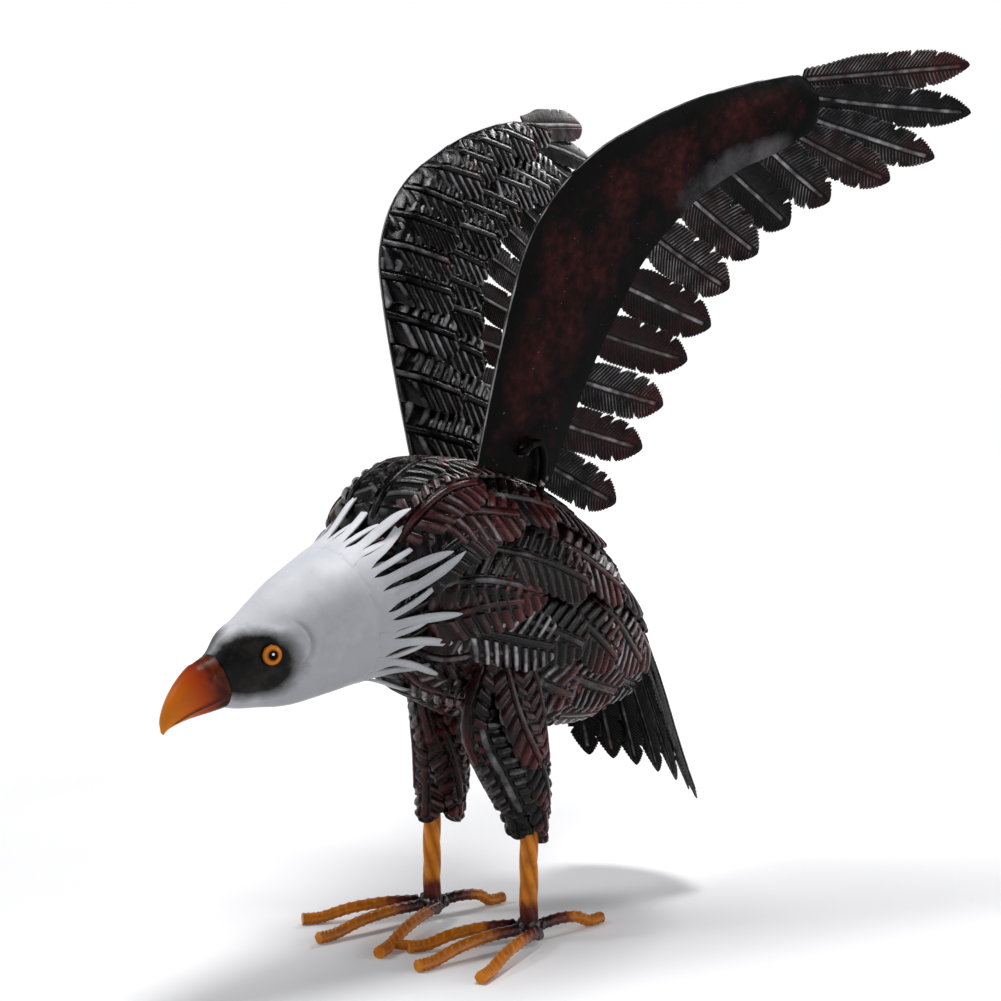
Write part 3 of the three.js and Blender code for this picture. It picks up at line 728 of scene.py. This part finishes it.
def lay_on(point, t0, turn0, droop, lift, length, tilt=0.0, sink=0.0):
    """Places a sheet over a form. It starts at (t0, turn0) and bends round the form.

    droop turns it sideways, lift raises its tip, tilt raises one side and sink lowers its root.
    """
    stations = np.linspace(t0, 0.97, 50)
    track = point(stations, turn0)
    walked = np.append(0, np.cumsum(norm(np.diff(track, axis=0), axis=1)))
    forward = math.cos(droop)
    sideways = math.sin(droop)
    middle_t = np.interp(forward * length / 2, walked, stations)
    girth = norm(slopes(point, middle_t, turn0)[1])
    middle_turn = turn0 + sideways / girth * length / 2
    before, middle, after = (point(middle_t, middle_turn + step) for step in (-0.1, 0.0, 0.1))
    stride = norm((after - before) / 2)
    curve = 0.9 * norm(before + after - 2 * middle) / stride**2

    def place(x, y, height):
        t = np.interp(x * forward, walked, stations)
        beyond = np.maximum(x * forward - walked[-1], 0)
        turn = turn0 + x * sideways / girth
        d_along, d_around = slopes(point, t, turn)
        normal = unit(np.cross(d_around, d_along))
        ahead = unit(unit(d_along) * forward + d_around * sideways / girth)
        base = point(t, turn) + ahead * beyond[..., None]
        side = np.cross(normal, ahead)
        bend = (y * curve)[..., None]
        out = normal * np.cos(bend) + side * np.sin(bend)
        base = base + side * np.sin(bend) / curve - normal * (1 - np.cos(bend)) / curve
        rise = lift * np.clip(x / length, 0, 1.1) ** 0.8 - tilt * y - sink * (1 - smooth(x, 0, 26))
        return base + out * (height + rise)[..., None]

    return place


# ---- body and thighs
# Place along the form, number of feathers, length, width. Every other row is half a step on.
BODY_ROWS = [
    (0.02, 12, 72, 36), (0.12, 13, 80, 38),
    (0.25, 13, 82, 39), (0.39, 12, 80, 38),
    (0.52, 11, 72, 37), (0.65, 10, 56, 32),
    (0.79, 8, 44, 30),
]
# The rows are joined into three pieces. Each is named after the last of its rows.
LAST_ROWS = (1, 3, 6)
BODY_DROOP = (-0.22, 0.34)
BODY_LIFT = (3.4, 6.0)
BODY_TILT = 0.09
# Grey on the body feathers' crests, as wear and painted highlight, from the front rows to the back.
BODY_RUB_AND_HIGHLIGHT = (0.85, 1.0)
ROOT_SINK = 2.6
COLLAR = (0.86, 15, 50, 25)
COLLAR_SINK = 3.8
COLLAR_LIFT = -5.0
THIGH_ROWS = [(0.0, 6, 76, 29), (0.2, 6, 72, 28), (0.44, 5, 58, 23)]
THIGH_SWEEP = 0.24


def form_shell(point, rows, columns, grow, start=0.0, end=1.0):
    """A smooth closed body inside the feathers."""
    t, turn = round_grid(rows, columns, start, end)
    return closed_sweep(point(t, turn, grow), tint=0.0, worn=0.0, ridge=0.0, along=0.0)


def body_feathers(index, rng):
    row_at, count, full_length, width = BODY_ROWS[index]
    shapes = []
    for i in range(count):
        turn = 2 * np.pi * (i + 0.5 + 0.5 * (index % 2)) / count
        turn = turn + rng.uniform(-0.05, 0.05)
        at = row_at + rng.uniform(-0.02, 0.02)
        droop = mix(*BODY_DROOP, smooth(at, 0.0, 0.45)) * math.sin(turn) + rng.uniform(-0.16, 0.16)
        length = full_length * rng.uniform(0.92, 1.08)
        lift = mix(*BODY_LIFT, smooth(at, 0.0, 0.3)) * rng.uniform(0.75, 1.1)
        tilt = math.copysign(BODY_TILT, math.sin(turn))
        place = lay_on(body, at, turn, droop, lift, length, tilt, ROOT_SINK)
        rub_and_highlight = mix(*BODY_RUB_AND_HIGHLIGHT, smooth(at, 0.1, 0.5))
        shapes.append(feather(place, length, width, EMBOSSED_STYLE, rng, 1.0, rub_and_highlight))
    return shapes


def collar_feathers(rng):
    """Dark feathers that lie under the white points of the neck."""
    at, count, full_length, width = COLLAR
    shapes = []
    for i in range(count):
        turn = 2 * np.pi * (i + rng.uniform(-0.1, 0.1)) / count
        length = full_length * rng.uniform(0.9, 1.1)
        droop = rng.uniform(-0.15, 0.15)
        place = lay_on(head, at, turn, droop, COLLAR_LIFT, length, 0.03, COLLAR_SINK)
        shapes.append(feather(place, length, width, EMBOSSED_STYLE, rng, 0.8, 0.5))
    return shapes


def build_body():
    rng = np.random.default_rng(11)
    shapes = [form_shell(body, 40, 56, -1.2)] + collar_feathers(rng)
    for index in range(len(BODY_ROWS)):
        shapes += body_feathers(index, rng)
        if index in LAST_ROWS:
            add_piece(f"body_feathers_{index}", shapes, EMBOSSED, ["torso"])
            shapes = []


def build_thighs():
    for name, side in SIDES:
        rng = np.random.default_rng(23 + side)
        form = thigh_form(name)
        shapes = [form_shell(form, 20, 28, -2.5, 0.15, 0.97)]
        for index, (at, count, full_length, width) in enumerate(THIGH_ROWS):
            for i in range(count):
                turn = 2 * np.pi * (i + 0.5 * (index % 2)) / count + rng.uniform(-0.08, 0.08)
                length = full_length * rng.uniform(0.95, 1.05)
                droop = THIGH_SWEEP * math.sin(turn) + rng.uniform(-0.1, 0.1)
                place = lay_on(form, at, turn, droop, 3.0, length, 0.05, 1.5)
                shapes.append(feather(place, length, width, EMBOSSED_STYLE, rng, 1.0, 0.6))
        add_piece(f"{name}_thigh_feathers", shapes, EMBOSSED, ["torso"])


# ---- wings
# Coverts are trimmed along this line just inside the plate's leading edge, and at the top.
TRIM_LINE = front_edge(np.linspace(0, 1, 60)) + np.array([0.5, 0.0])
TRIM_TOP = 555.0
TRIM_REST = 0.05
EDGE_OFFSET = 1.4
# Rows of coverts: distance of the roots from the leading edge, the part of the edge they follow,
# length, droop in degrees at that part's two ends, rise over a feather's length, lift of the row.
COVERT_ROWS = [
    (34, (0.02, 0.93), 60, (14, 6), 3.2, -1.6),
    (-6, (0.01, 0.95), 62, (15, 1), 3.6, 0.9),
]
COVERT_COUNT = 12
COVERT_WIDTH = 37
COVERT_TILT = 0.08
# Share of the length and range of depths of the notches on a flight feather's two sides.
NOTCHES = {1: ((0.42, 0.58, 0.74), (4, 6)), -1: ((0.52, 0.7), (3.5, 5.5))}


def wing_place(side, root_y, root_z, droop, offset, tilt, rise=0.0, length=1.0, trim=False):
    """Places a sheet over the wing sheet, rising by rise over its length."""
    forward = math.cos(droop)
    down = math.sin(droop)

    def place(x, y, height):
        along_y = root_y + x * forward + y * down
        along_z = root_z - x * down + y * forward
        above = offset - tilt * y + rise * np.clip(x / length, 0, 1)
        if trim:
            along_z = np.minimum(along_z, TRIM_TOP + TRIM_REST * (along_z - TRIM_TOP))
            edge = np.interp(along_z, TRIM_LINE[:, 1], TRIM_LINE[:, 0])
            inward = along_y - edge
            along_y = edge + np.maximum(inward, TRIM_REST * inward)
            above = mix(EDGE_OFFSET, above, smooth(inward, -2, 16))
            height = height * mix(0.4, 1.0, smooth(inward, -2, 5))
        return wing_point(side, along_y, along_z, above + height)

    return place


def build_flight_feathers(name, side):
    rng = np.random.default_rng(31)
    for i, (y, z, visible, droop_degrees, width) in enumerate(FLIGHT_FEATHERS):
        droop = math.radians(droop_degrees)
        tilt = FAN_TILT if i < FAN_FEATHERS else FLIGHT_TILT
        root_y = y - HIDDEN_ROOT * math.cos(droop)
        root_z = z + HIDDEN_ROOT * math.sin(droop)
        place = wing_place(side, root_y, root_z, droop, FLIGHT_OFFSET, tilt)
        notches = []
        for notch_side, (shares, depths) in NOTCHES.items():
            for share in shares:
                notches.append((notch_side, share + rng.uniform(-0.03, 0.03), rng.uniform(*depths)))
        length = visible + HIDDEN_ROOT
        shape = feather(place, length, width, BARBED_STYLE, rng, 0.75, 0.8, notches)
        part = f"{name}_flight_feather_{i + 1:02d}"
        add_piece(f"{part}_sheet", [shape], BARBED, [part])


def build_coverts(name, side):
    rng = np.random.default_rng(41)
    shapes = []
    for inset, span, full_length, droops, rise, lift in COVERT_ROWS:
        for i in range(COVERT_COUNT):
            t = mix(*span, (i + 0.5) / COVERT_COUNT)
            root = front_edge(t)
            chord = unit(back_edge(t) - root)
            droop = math.radians(mix(*droops, t) + rng.uniform(-4, 4))
            root = root + chord * inset
            length = full_length * rng.uniform(0.92, 1.1)
            offset = COVERT_OFFSET + lift + rng.uniform(0, 0.3)
            place = wing_place(side, *root, droop, offset, COVERT_TILT, rise, length, trim=True)
            shapes.append(feather(place, length, COVERT_WIDTH, EMBOSSED_STYLE, rng, 0.4, 0.9))
    part = f"{name}_wing_coverts"
    add_piece(f"{name}_covert_feathers", shapes, EMBOSSED, [part])


def build_plate(name, side):
    """The smooth sheet that carries the flight feathers, with rounded outer corners."""
    rows, columns = 90, 28
    length_shares = np.linspace(0, 1, rows)
    width_shares = np.concatenate([[0, 0.012], np.linspace(0.03, 0.97, columns - 4), [0.988, 1]])
    t, u = np.meshgrid(length_shares, width_shares, indexing="ij")
    leading = front_edge(length_shares)
    trailing = back_edge(length_shares)
    chord = unit(trailing - leading)
    corner = np.clip((length_shares - PLATE_CORNER.start) / (1 - PLATE_CORNER.start), 0, 1)
    cut = chord * (PLATE_CORNER.radius * (1 - np.sqrt(1 - corner**2)))[:, None]
    yz = mix((leading + cut)[:, None], (trailing - cut)[:, None], u[..., None])
    y, z = np.moveaxis(yz, -1, 0)
    dent = 0.25 * np.sin(y / 9.0 + 1) * np.sin(z / 11.0)
    rise = 4 * u * (1 - u) * (PLATE_BULGE + dent)
    outer = wing_point(side, y, z, -rise)
    inner = wing_point(side, y, z, SHEET - rise)
    points = np.vstack([outer.reshape(-1, 3), inner.reshape(-1, 3)])
    front = numbers(rows, columns)
    back = numbers(rows, columns, rows * columns)
    root, tip = (grid_faces(np.stack([front[k], back[k]])) for k in (0, -1))
    quads = np.vstack([sheet_faces(front, back), root, tip[:, ::-1]])
    middle = smooth(u, -0.05, 0.25) * (1 - smooth(u, 0.6, 1.1))
    middle = middle * smooth(t, -0.1, 0.15) * (1 - smooth(t, 0.92, 1.05))
    fields = {
        "tint": mix(0.68, 1.04, middle),
        # Painted sheen on the trailing half, towards the tip.
        "cloud": smooth(u, 0.4, 0.95) * smooth(t, 0.42, 0.72) * (1 - smooth(t, 0.84, 1.0)),
        # Leading edge: wear and a painted highlight.
        "edge": (u == 0).astype(float),
    }
    values = {key: np.append(field, field) for key, field in fields.items()}
    part = f"{name}_wing_plate"
    shape = (points, outward(points, quads), values)
    add_piece(f"{part}_sheet", [shape], PLATE, [part], sharp=50)


# The bent rod that hangs the wing on the body, and the weld beads at its two ends.
HOOK_PATH = [
    (31, 25, 276), (35, 24, 292), (38.5, 21, 304), (41, 14, 312),
    (41, 7, 311.5), (38.5, 3.6, 307.5), (31.6, 3, 306.5),
]
HOOK_RADIUS = 2.5
HOOK_WELDS = [(33.5, 4, 306), (34.5, 5.5, 309), (35, 8, 307), (33.5, 24, 287), (34.5, 26.5, 290)]


def build_hook(name, side):
    t, turn = round_grid(60, 20)
    size = HOOK_RADIUS + 0.15 * np.sin(9 * t + 2 * turn)
    path = spline([(side * x, y, z) for x, y, z in HOOK_PATH])
    # The hook carries the plate's painted sheen at half strength.
    bar = swept_bar(path, size, tint=0.5, cloud=0.5, edge=0.0)
    part = f"{name}_wing_hook"
    add_piece(f"{part}_bar", [bar], PLATE, [part])
    rng = np.random.default_rng(83)
    beads = [lump((side * x, y, z), rng.uniform(2.2, 3.4, 3), rng) for x, y, z in HOOK_WELDS]
    add_piece(f"{part}_weld", beads, WELD)


# ---- tail
def tail_place(angle):
    """Places a sheet in the tail's fan, at an angle from its middle. Gives its length too."""
    ends = []
    for center_y, radius, z in (TAIL_TOP, TAIL_TIP):
        x = radius * math.sin(angle)
        ends.append(np.array([x, center_y + radius * math.cos(angle), z]))
    root, tip = ends
    tip[2] -= TAIL_ROLL * tip[0]
    down = unit(tip - root)
    across = np.array([math.cos(angle), -math.sin(angle), 0.0])
    out = unit(np.cross(across, down))
    out = out if out[1] > 0 else -out

    def place(x, y, height):
        lift = height - TAIL_TILT * y
        return root + down * x[..., None] + across * y[..., None] + out * lift[..., None]

    return place, norm(tip - root)


def build_tail():
    rng = np.random.default_rng(53)
    notches = [(1, 0.62, 5), (-1, 0.74, 5), (1, 0.8, 4)]
    for index in range(TAIL_COUNT):
        place, length = tail_place(TAIL_STEP * (index - (TAIL_COUNT - 1) / 2))
        shape = feather(place, length, TAIL_WIDTH, BARBED_STYLE, rng, 0.3, 0.25, notches)
        part = f"tail_feather_{index + 1}"
        add_piece(f"{part}_sheet", [shape], BARBED, [part])


# ---- head, beak and eyes
# Relief and black paint of the head, measured outwards, backwards and upwards from the eye.
SOCKET = Measures(depth=1.6, radius=10.0, stretch=(0.6, 1.0, 1.0))
BROW = Measures(height=2.6, up=9.5, slope=0.18, half=4.0, length=17.0)
CREASE = Measures(depth=1.5, back=8, up=5, radius=14, half=1.3)
CHEEK = Measures(height=1.2, back=12, down=13, length=11.0, breadth=10.0)
PATCH = Measures(center=(0.0, -12.0, -5.0), stretch=(0.5, 0.54, 0.82), inner=9.5, outer=21.0)
# Place of the painted glint above the eye's middle, as a share of its radius, and its size.
GLINT = Measures(up=0.1, radius=0.75)


def painted_shade(normal):
    """Painted shade on the white paint from the way the surface faces: none on top, most on the
    sides and below.
    """
    return 0.85 * (1 - smooth(normal[..., 2], 0.3, 1.0))


def head_relief(skin, gap):
    """How far the head's sheet is pushed out. gap is each point's place from the nearer eye."""
    _, back, up = np.moveaxis(gap, -1, 0)
    distance = norm(gap * SOCKET.stretch, axis=-1)
    socket = SOCKET.depth * bell(distance, SOCKET.radius)
    brow = bell(up - BROW.up - BROW.slope * back, BROW.half) * bell(back, BROW.length)
    ring = np.hypot(back - CREASE.back, up - CREASE.up)
    crease = CREASE.depth * bell(ring - CREASE.radius, CREASE.half)
    crease = crease * smooth((back - CREASE.back) / ring, 0.35, 0.8)
    cheek = bell(back - CHEEK.back, CHEEK.length) * bell(up + CHEEK.down, CHEEK.breadth)
    x, y, z = np.moveaxis(skin, -1, 0)
    dents = 0.35 * np.sin(y / 9.0) * np.sin(z / 8.0 + x / 12.0)
    return BROW.height * brow + CHEEK.height * cheek + dents - socket - crease


def build_head():
    t, turn = round_grid(130, 160, 0.0, SKIN_END)
    skin = head(t, turn)
    mirrored = np.where([True, False, False], np.abs(skin), skin)
    gap = mirrored - EYE_CENTER
    fade = smooth(t, 0.0, 0.08) * (1 - smooth(t, 0.75, SPIKE_START))
    surface, normal = with_relief(head, t, turn, head_relief(skin, gap) * fade)
    spread = norm((gap - PATCH.center) * PATCH.stretch, axis=-1)
    dark = 1 - smooth(spread, PATCH.inner, PATCH.outer)
    shapes = [closed_sweep(surface, dark=dark, shade=painted_shade(normal))]
    rng = np.random.default_rng(67)
    for index in range(SPIKE_COUNT):
        shapes.append(spike(index, rng))
        shapes.append(spike(index, rng, tucked=True))
    add_piece("neck_skin", shapes, HEAD, ["neck_and_head"], sharp=50)


def spike(index, rng, tucked=False):
    """A long pointed tongue of sheet that leaves the neck near its rim and bends outwards.

    A tucked one is shorter and lies lower, in the gap after its neighbour.
    """
    turn = 2 * np.pi * (index + (1.0 if tucked else 0.5) + rng.uniform(-0.12, 0.12)) / SPIKE_COUNT
    over_neck = norm(head(1.0, turn) - head(SPIKE_START, turn))
    visible, flare, lean = SPIKES[index % len(SPIKES)]
    visible = visible * rng.uniform(0.95, 1.25)
    lean = lean + rng.uniform(-0.2, 0.2)
    width = SPIKE_WIDTH
    if tucked:
        shorter, flare, width = TUCKED
        visible = visible * shorter
    length = over_neck + visible
    place = lay_on(head, SPIKE_START, turn, 0.0, 0.0, length)
    share, u = np.meshgrid(np.linspace(0, 1, 30), np.linspace(-1, 1, 9), indexing="ij")
    x = share * length
    waist = mix(1.1, 0.4, smooth(share, rng.uniform(0.0, 0.12), rng.uniform(0.32, 0.46)))
    half = width / 2 * waist * (1 - share**6) + 0.2
    free = np.maximum(x - over_neck * 0.6, 0)
    bend = rng.uniform(-0.012, 0.012)
    across = u * half + lean * free * share + bend * free**2 / 4
    height = (flare + 4) * smooth(share, 0.15, 1.0) ** 1.3 - 1.2 * (1 - smooth(share, 0, 0.16))
    top = place(x, across, height + 0.35)
    under = place(x, across, height - 0.75)
    rings = np.concatenate([top, under[:, ::-1]], axis=1)
    # Painted shade: greyer towards the point's edges than along its middle, and full on its
    # underside.
    shade = painted_shade(unit(top - under)) + 0.2 * smooth(share, 0.2, 0.6) * (np.abs(u) - 0.5)
    shade = np.concatenate([shade, np.ones(shade.shape)], axis=1)
    return closed_sweep(rings, dark=0.0, shade=shade)


def build_beak():
    """The hooked beak, with its cere, nostrils and gape line, hollowed below towards the tip."""
    t, turn = round_grid(70, 72)
    level = np.cos(turn)
    gape = bell(level - mix(-0.42, -0.75, t), 0.1) * (1 - smooth(t, 0.62, 0.8))
    cere = 0.7 * (1 - smooth(t, 0.16, 0.22)) * smooth(level, -0.3, 0.2)
    nostril = bell(t - 0.17, 0.035) * bell(level - 0.35, 0.14)
    hollow = 0.7 * np.exp(-((turn - np.pi) ** 2) / 0.3) * t
    surface, _ = with_relief(beak, t, turn, cere - hollow - gape - 1.1 * nostril)
    shape = closed_sweep(surface, along=t, seam=np.clip(np.maximum(gape, nostril), 0, 1))
    add_piece("beak_shell", [shape], BEAK, ["beak"], sharp=60)


def build_eyes():
    """Domed discs that face outwards and a little forwards, on a skirt that ends in the head."""
    rim_to_middle = round_grid(40, 48, 1.0, 0.02)
    share, turn = (np.vstack([grid[:1], grid]) for grid in rim_to_middle)
    x = EYE_DOME * np.sqrt(np.clip(1 - share**2, 0, 1))
    x[0] = -EYE_SKIRT
    y = EYE_RADIUS * share * np.cos(turn)
    z = EYE_RADIUS * share * np.sin(turn)
    out = x * math.cos(EYE_TURN) + y * math.sin(EYE_TURN)
    back = y * math.cos(EYE_TURN) - x * math.sin(EYE_TURN)
    spot = np.hypot(y, z - GLINT.up * EYE_RADIUS)
    glint = 1 - smooth(spot, 0.5 * GLINT.radius, 1.5 * GLINT.radius)
    for name, side in SIDES:
        rings = (np.stack([out, back, z], -1) + EYE_CENTER) * (side, 1, 1)
        shape = closed_sweep(rings, radius=share, glint=glint)
        part = f"{name}_eye"
        add_piece(f"{part}_dome", [shape], EYE_ENAMEL, [part], sharp=60)


# ---- legs and feet
LEG_CORE = 5.1
LEG_FLUTE = 0.9
LEG_FLUTES = 5
LEG_TWIST = 4.2
TOE_CORE = 3.52
TOE_RIB = 0.45
TOE_RIB_PITCH = 5.4
BRIDGE_PATH = [(6, -66, 4), (0.5, -69, 4.4), (-5, -70, 4)]
# Height above the floor and distance from the leg's middle of the three beads at each toe.
ANKLE_WELDS = ((6.5, 6.0), (11.5, 4.6), (8.5, 9.5))


def build_leg(name):
    """A bar twisted so that its flutes wind round it."""
    t, turn = round_grid(120, 60)
    flute = (0.5 + 0.5 * np.cos(LEG_FLUTES * (turn + LEG_TWIST * t))) ** 0.6
    size = LEG_CORE + LEG_FLUTE * flute
    x, y = LEGS[name]
    z = mix(LEG_BOTTOM, LEG_TOP, t)
    rings = np.stack([x + size * np.cos(turn), y + size * np.sin(turn), z], -1)
    # Painted highlight: the flutes' crests get the lighter colour.
    bar = closed_sweep(rings, ridge=flute, dark=1 - smooth(z, 10, 34))
    add_piece(f"{name}_leg_bar", [bar], LEG, [f"{name}_leg"])


def build_toe(name, toe):
    """A bar with slanted ribs and a seam on each side, arched from the ankle to the floor."""
    start, tip = (np.array([*spot, TOE_RADIUS]) for spot in TOES[name][toe])
    reach = norm(tip - start)
    arch = [*TOE_ARCH, (1 - TOE_FLAT / reach, 0), (1, 0)]
    path = spline([mix(start, tip, share) + (0, 0, rise) for share, rise in arch])
    t, turn = round_grid(int(reach * 1.9), 36)
    phase = reach * t / TOE_RIB_PITCH + 0.5 * np.cos(turn)
    hoop = np.clip(1.5 * np.sin(2 * np.pi * phase) - 0.5, 0, 1) * np.abs(np.sin(turn)) ** 0.5
    seam = np.clip(np.cos(2 * turn), 0, 1) ** 14
    rib = np.maximum(hoop, seam)
    # Painted highlight: the ribs and the cut tip get the lighter colour.
    ridge = np.maximum(0.25 + 0.6 * rib, t > 0.999)
    dark = 1 - smooth(t * reach, 0, 28)
    bar = swept_bar(path, TOE_CORE + TOE_RIB * rib, ridge=ridge, dark=dark)
    part = f"{name}_toe_{toe}"
    add_piece(f"{part}_bar", [bar], LEG, [part])


def build_toe_bridge():
    """The short stub between the inner toes of the two feet."""
    t, turn = round_grid(24, 24)
    size = 3.1 + 0.2 * np.sin(7 * t + turn)
    # A middling painted highlight all over the stub.
    bar = swept_bar(spline(BRIDGE_PATH), size, ridge=0.5, dark=0.1)
    add_piece("toe_bridge", [bar], LEG)


def build_ankle_welds(name, side):
    rng = np.random.default_rng(71 + side)
    ankle = np.array([*LEGS[name], 0.0])
    beads = []
    for start, _ in TOES[name].values():
        direction = unit(np.array([*start, 0.0]) - ankle)
        for lift, out in ANKLE_WELDS:
            jitter = rng.uniform(-1.2, 1.2, 3)
            center = ankle + direction * out + (0, 0, lift) + jitter
            beads.append(lump(center, rng.uniform(2.6, 4.2, 3), rng))
    add_piece(f"{name}_ankle_weld", beads, WELD)


# ---- camera, floor and light
CAMERA = Measures(
    turn=math.radians(42), pitch=math.radians(2), distance=1100, height=314, sidestep=15.5,
    lens=61.93, sensor=36,
)
# From here on lengths are metres. Each light has its place, size and power in watts.
LIGHTS = {
    "key": ((-0.9, -1.5, 1.7), 0.5, 15),
    "side_rim": ((1.7, 0.9, 0.9), 0.6, 9),
    "back_rim": ((-0.6, 1.6, 1.5), 0.7, 14),
    "top": ((0.1, 0.1, 2.2), 0.6, 32),
}
LIGHT_AIM = Vector((0, 0, 0.32))
FLOOR_HALF = 30.0
GLOW_REACH = 4.0


def add_camera():
    right = np.array([math.cos(CAMERA.turn), math.sin(CAMERA.turn), 0.0])
    ahead = np.array([-math.sin(CAMERA.turn), math.cos(CAMERA.turn), 0.0])
    spot = right * CAMERA.sidestep - ahead * CAMERA.distance + (0, 0, CAMERA.height)
    data = bpy.data.cameras.new("photo_camera")
    data.lens = CAMERA.lens
    data.sensor_width = CAMERA.sensor
    camera = add_object("photo_camera", data)
    camera.location = (spot + SHIFT) * MM
    camera.rotation_euler = (math.pi / 2 - CAMERA.pitch, 0, CAMERA.turn)
    bpy.context.scene.camera = camera


def add_floor():
    """Pale paper that glows more with distance, so that it runs into the white behind it."""
    paint = new_paint("floor_paper", 0.9)
    tone = paint.ramp(paint.noise(3), [(0.3, (0.79, 0.79, 0.8)), (0.7, (0.81, 0.81, 0.82))])
    distance = paint.node("ShaderNodeVectorMath", Vector=paint.place())
    distance.operation = "LENGTH"
    away = paint.math("DIVIDE", distance.outputs["Value"], GLOW_REACH)
    glow = paint.ramp(away, [(0.15, 0.06), (0.4, 0.5), (0.7, 0.85), (1.0, 0.92)])
    paint.shade(Base_Color=tone, Emission_Color=glow, Emission_Strength=1.0)
    mesh = bpy.data.meshes.new("floor")
    corners = [(-1, -1), (1, -1), (1, 1), (-1, 1)]
    mesh.from_pydata([(x * FLOOR_HALF, y * FLOOR_HALF, 0) for x, y in corners], [], [(0, 1, 2, 3)])
    mesh.materials.append(paint.owner)
    add_object("floor", mesh)


def add_lights():
    for name, (spot, size, power) in LIGHTS.items():
        data = bpy.data.lights.new(name, "AREA")
        data.shape = "DISK"
        data.size = size
        data.energy = power
        light = add_object(name, data)
        light.location = spot
        light.rotation_euler = (LIGHT_AIM - Vector(spot)).to_track_quat("-Z", "Y").to_euler()


def add_world():
    """White to a little above the horizon, then dark, so that the black lacquer stays black."""
    sky = Paint(bpy.data.worlds.new("studio"), "Background")
    split = sky.node("ShaderNodeSeparateXYZ", Vector=sky.place("Generated"))
    fade = sky.ramp(split.outputs["Z"], [(0.26, (1.0, 1.0, 1.0)), (0.42, (0.08, 0.08, 0.09))])
    sky.shade(Color=fade, Strength=1.0)
    bpy.context.scene.world = sky.owner
    bpy.context.scene.view_settings.view_transform = "Standard"


# ---- everything in its place
build_body()
build_thighs()
for side_name, side_sign in SIDES:
    build_plate(side_name, side_sign)
    build_flight_feathers(side_name, side_sign)
    build_coverts(side_name, side_sign)
    build_hook(side_name, side_sign)
    build_leg(side_name)
    for toe_name in TOES[side_name]:
        build_toe(side_name, toe_name)
    build_ankle_welds(side_name, side_sign)
build_toe_bridge()
build_tail()
build_head()
build_beak()
build_eyes()
add_camera()
add_floor()
add_lights()
add_world()
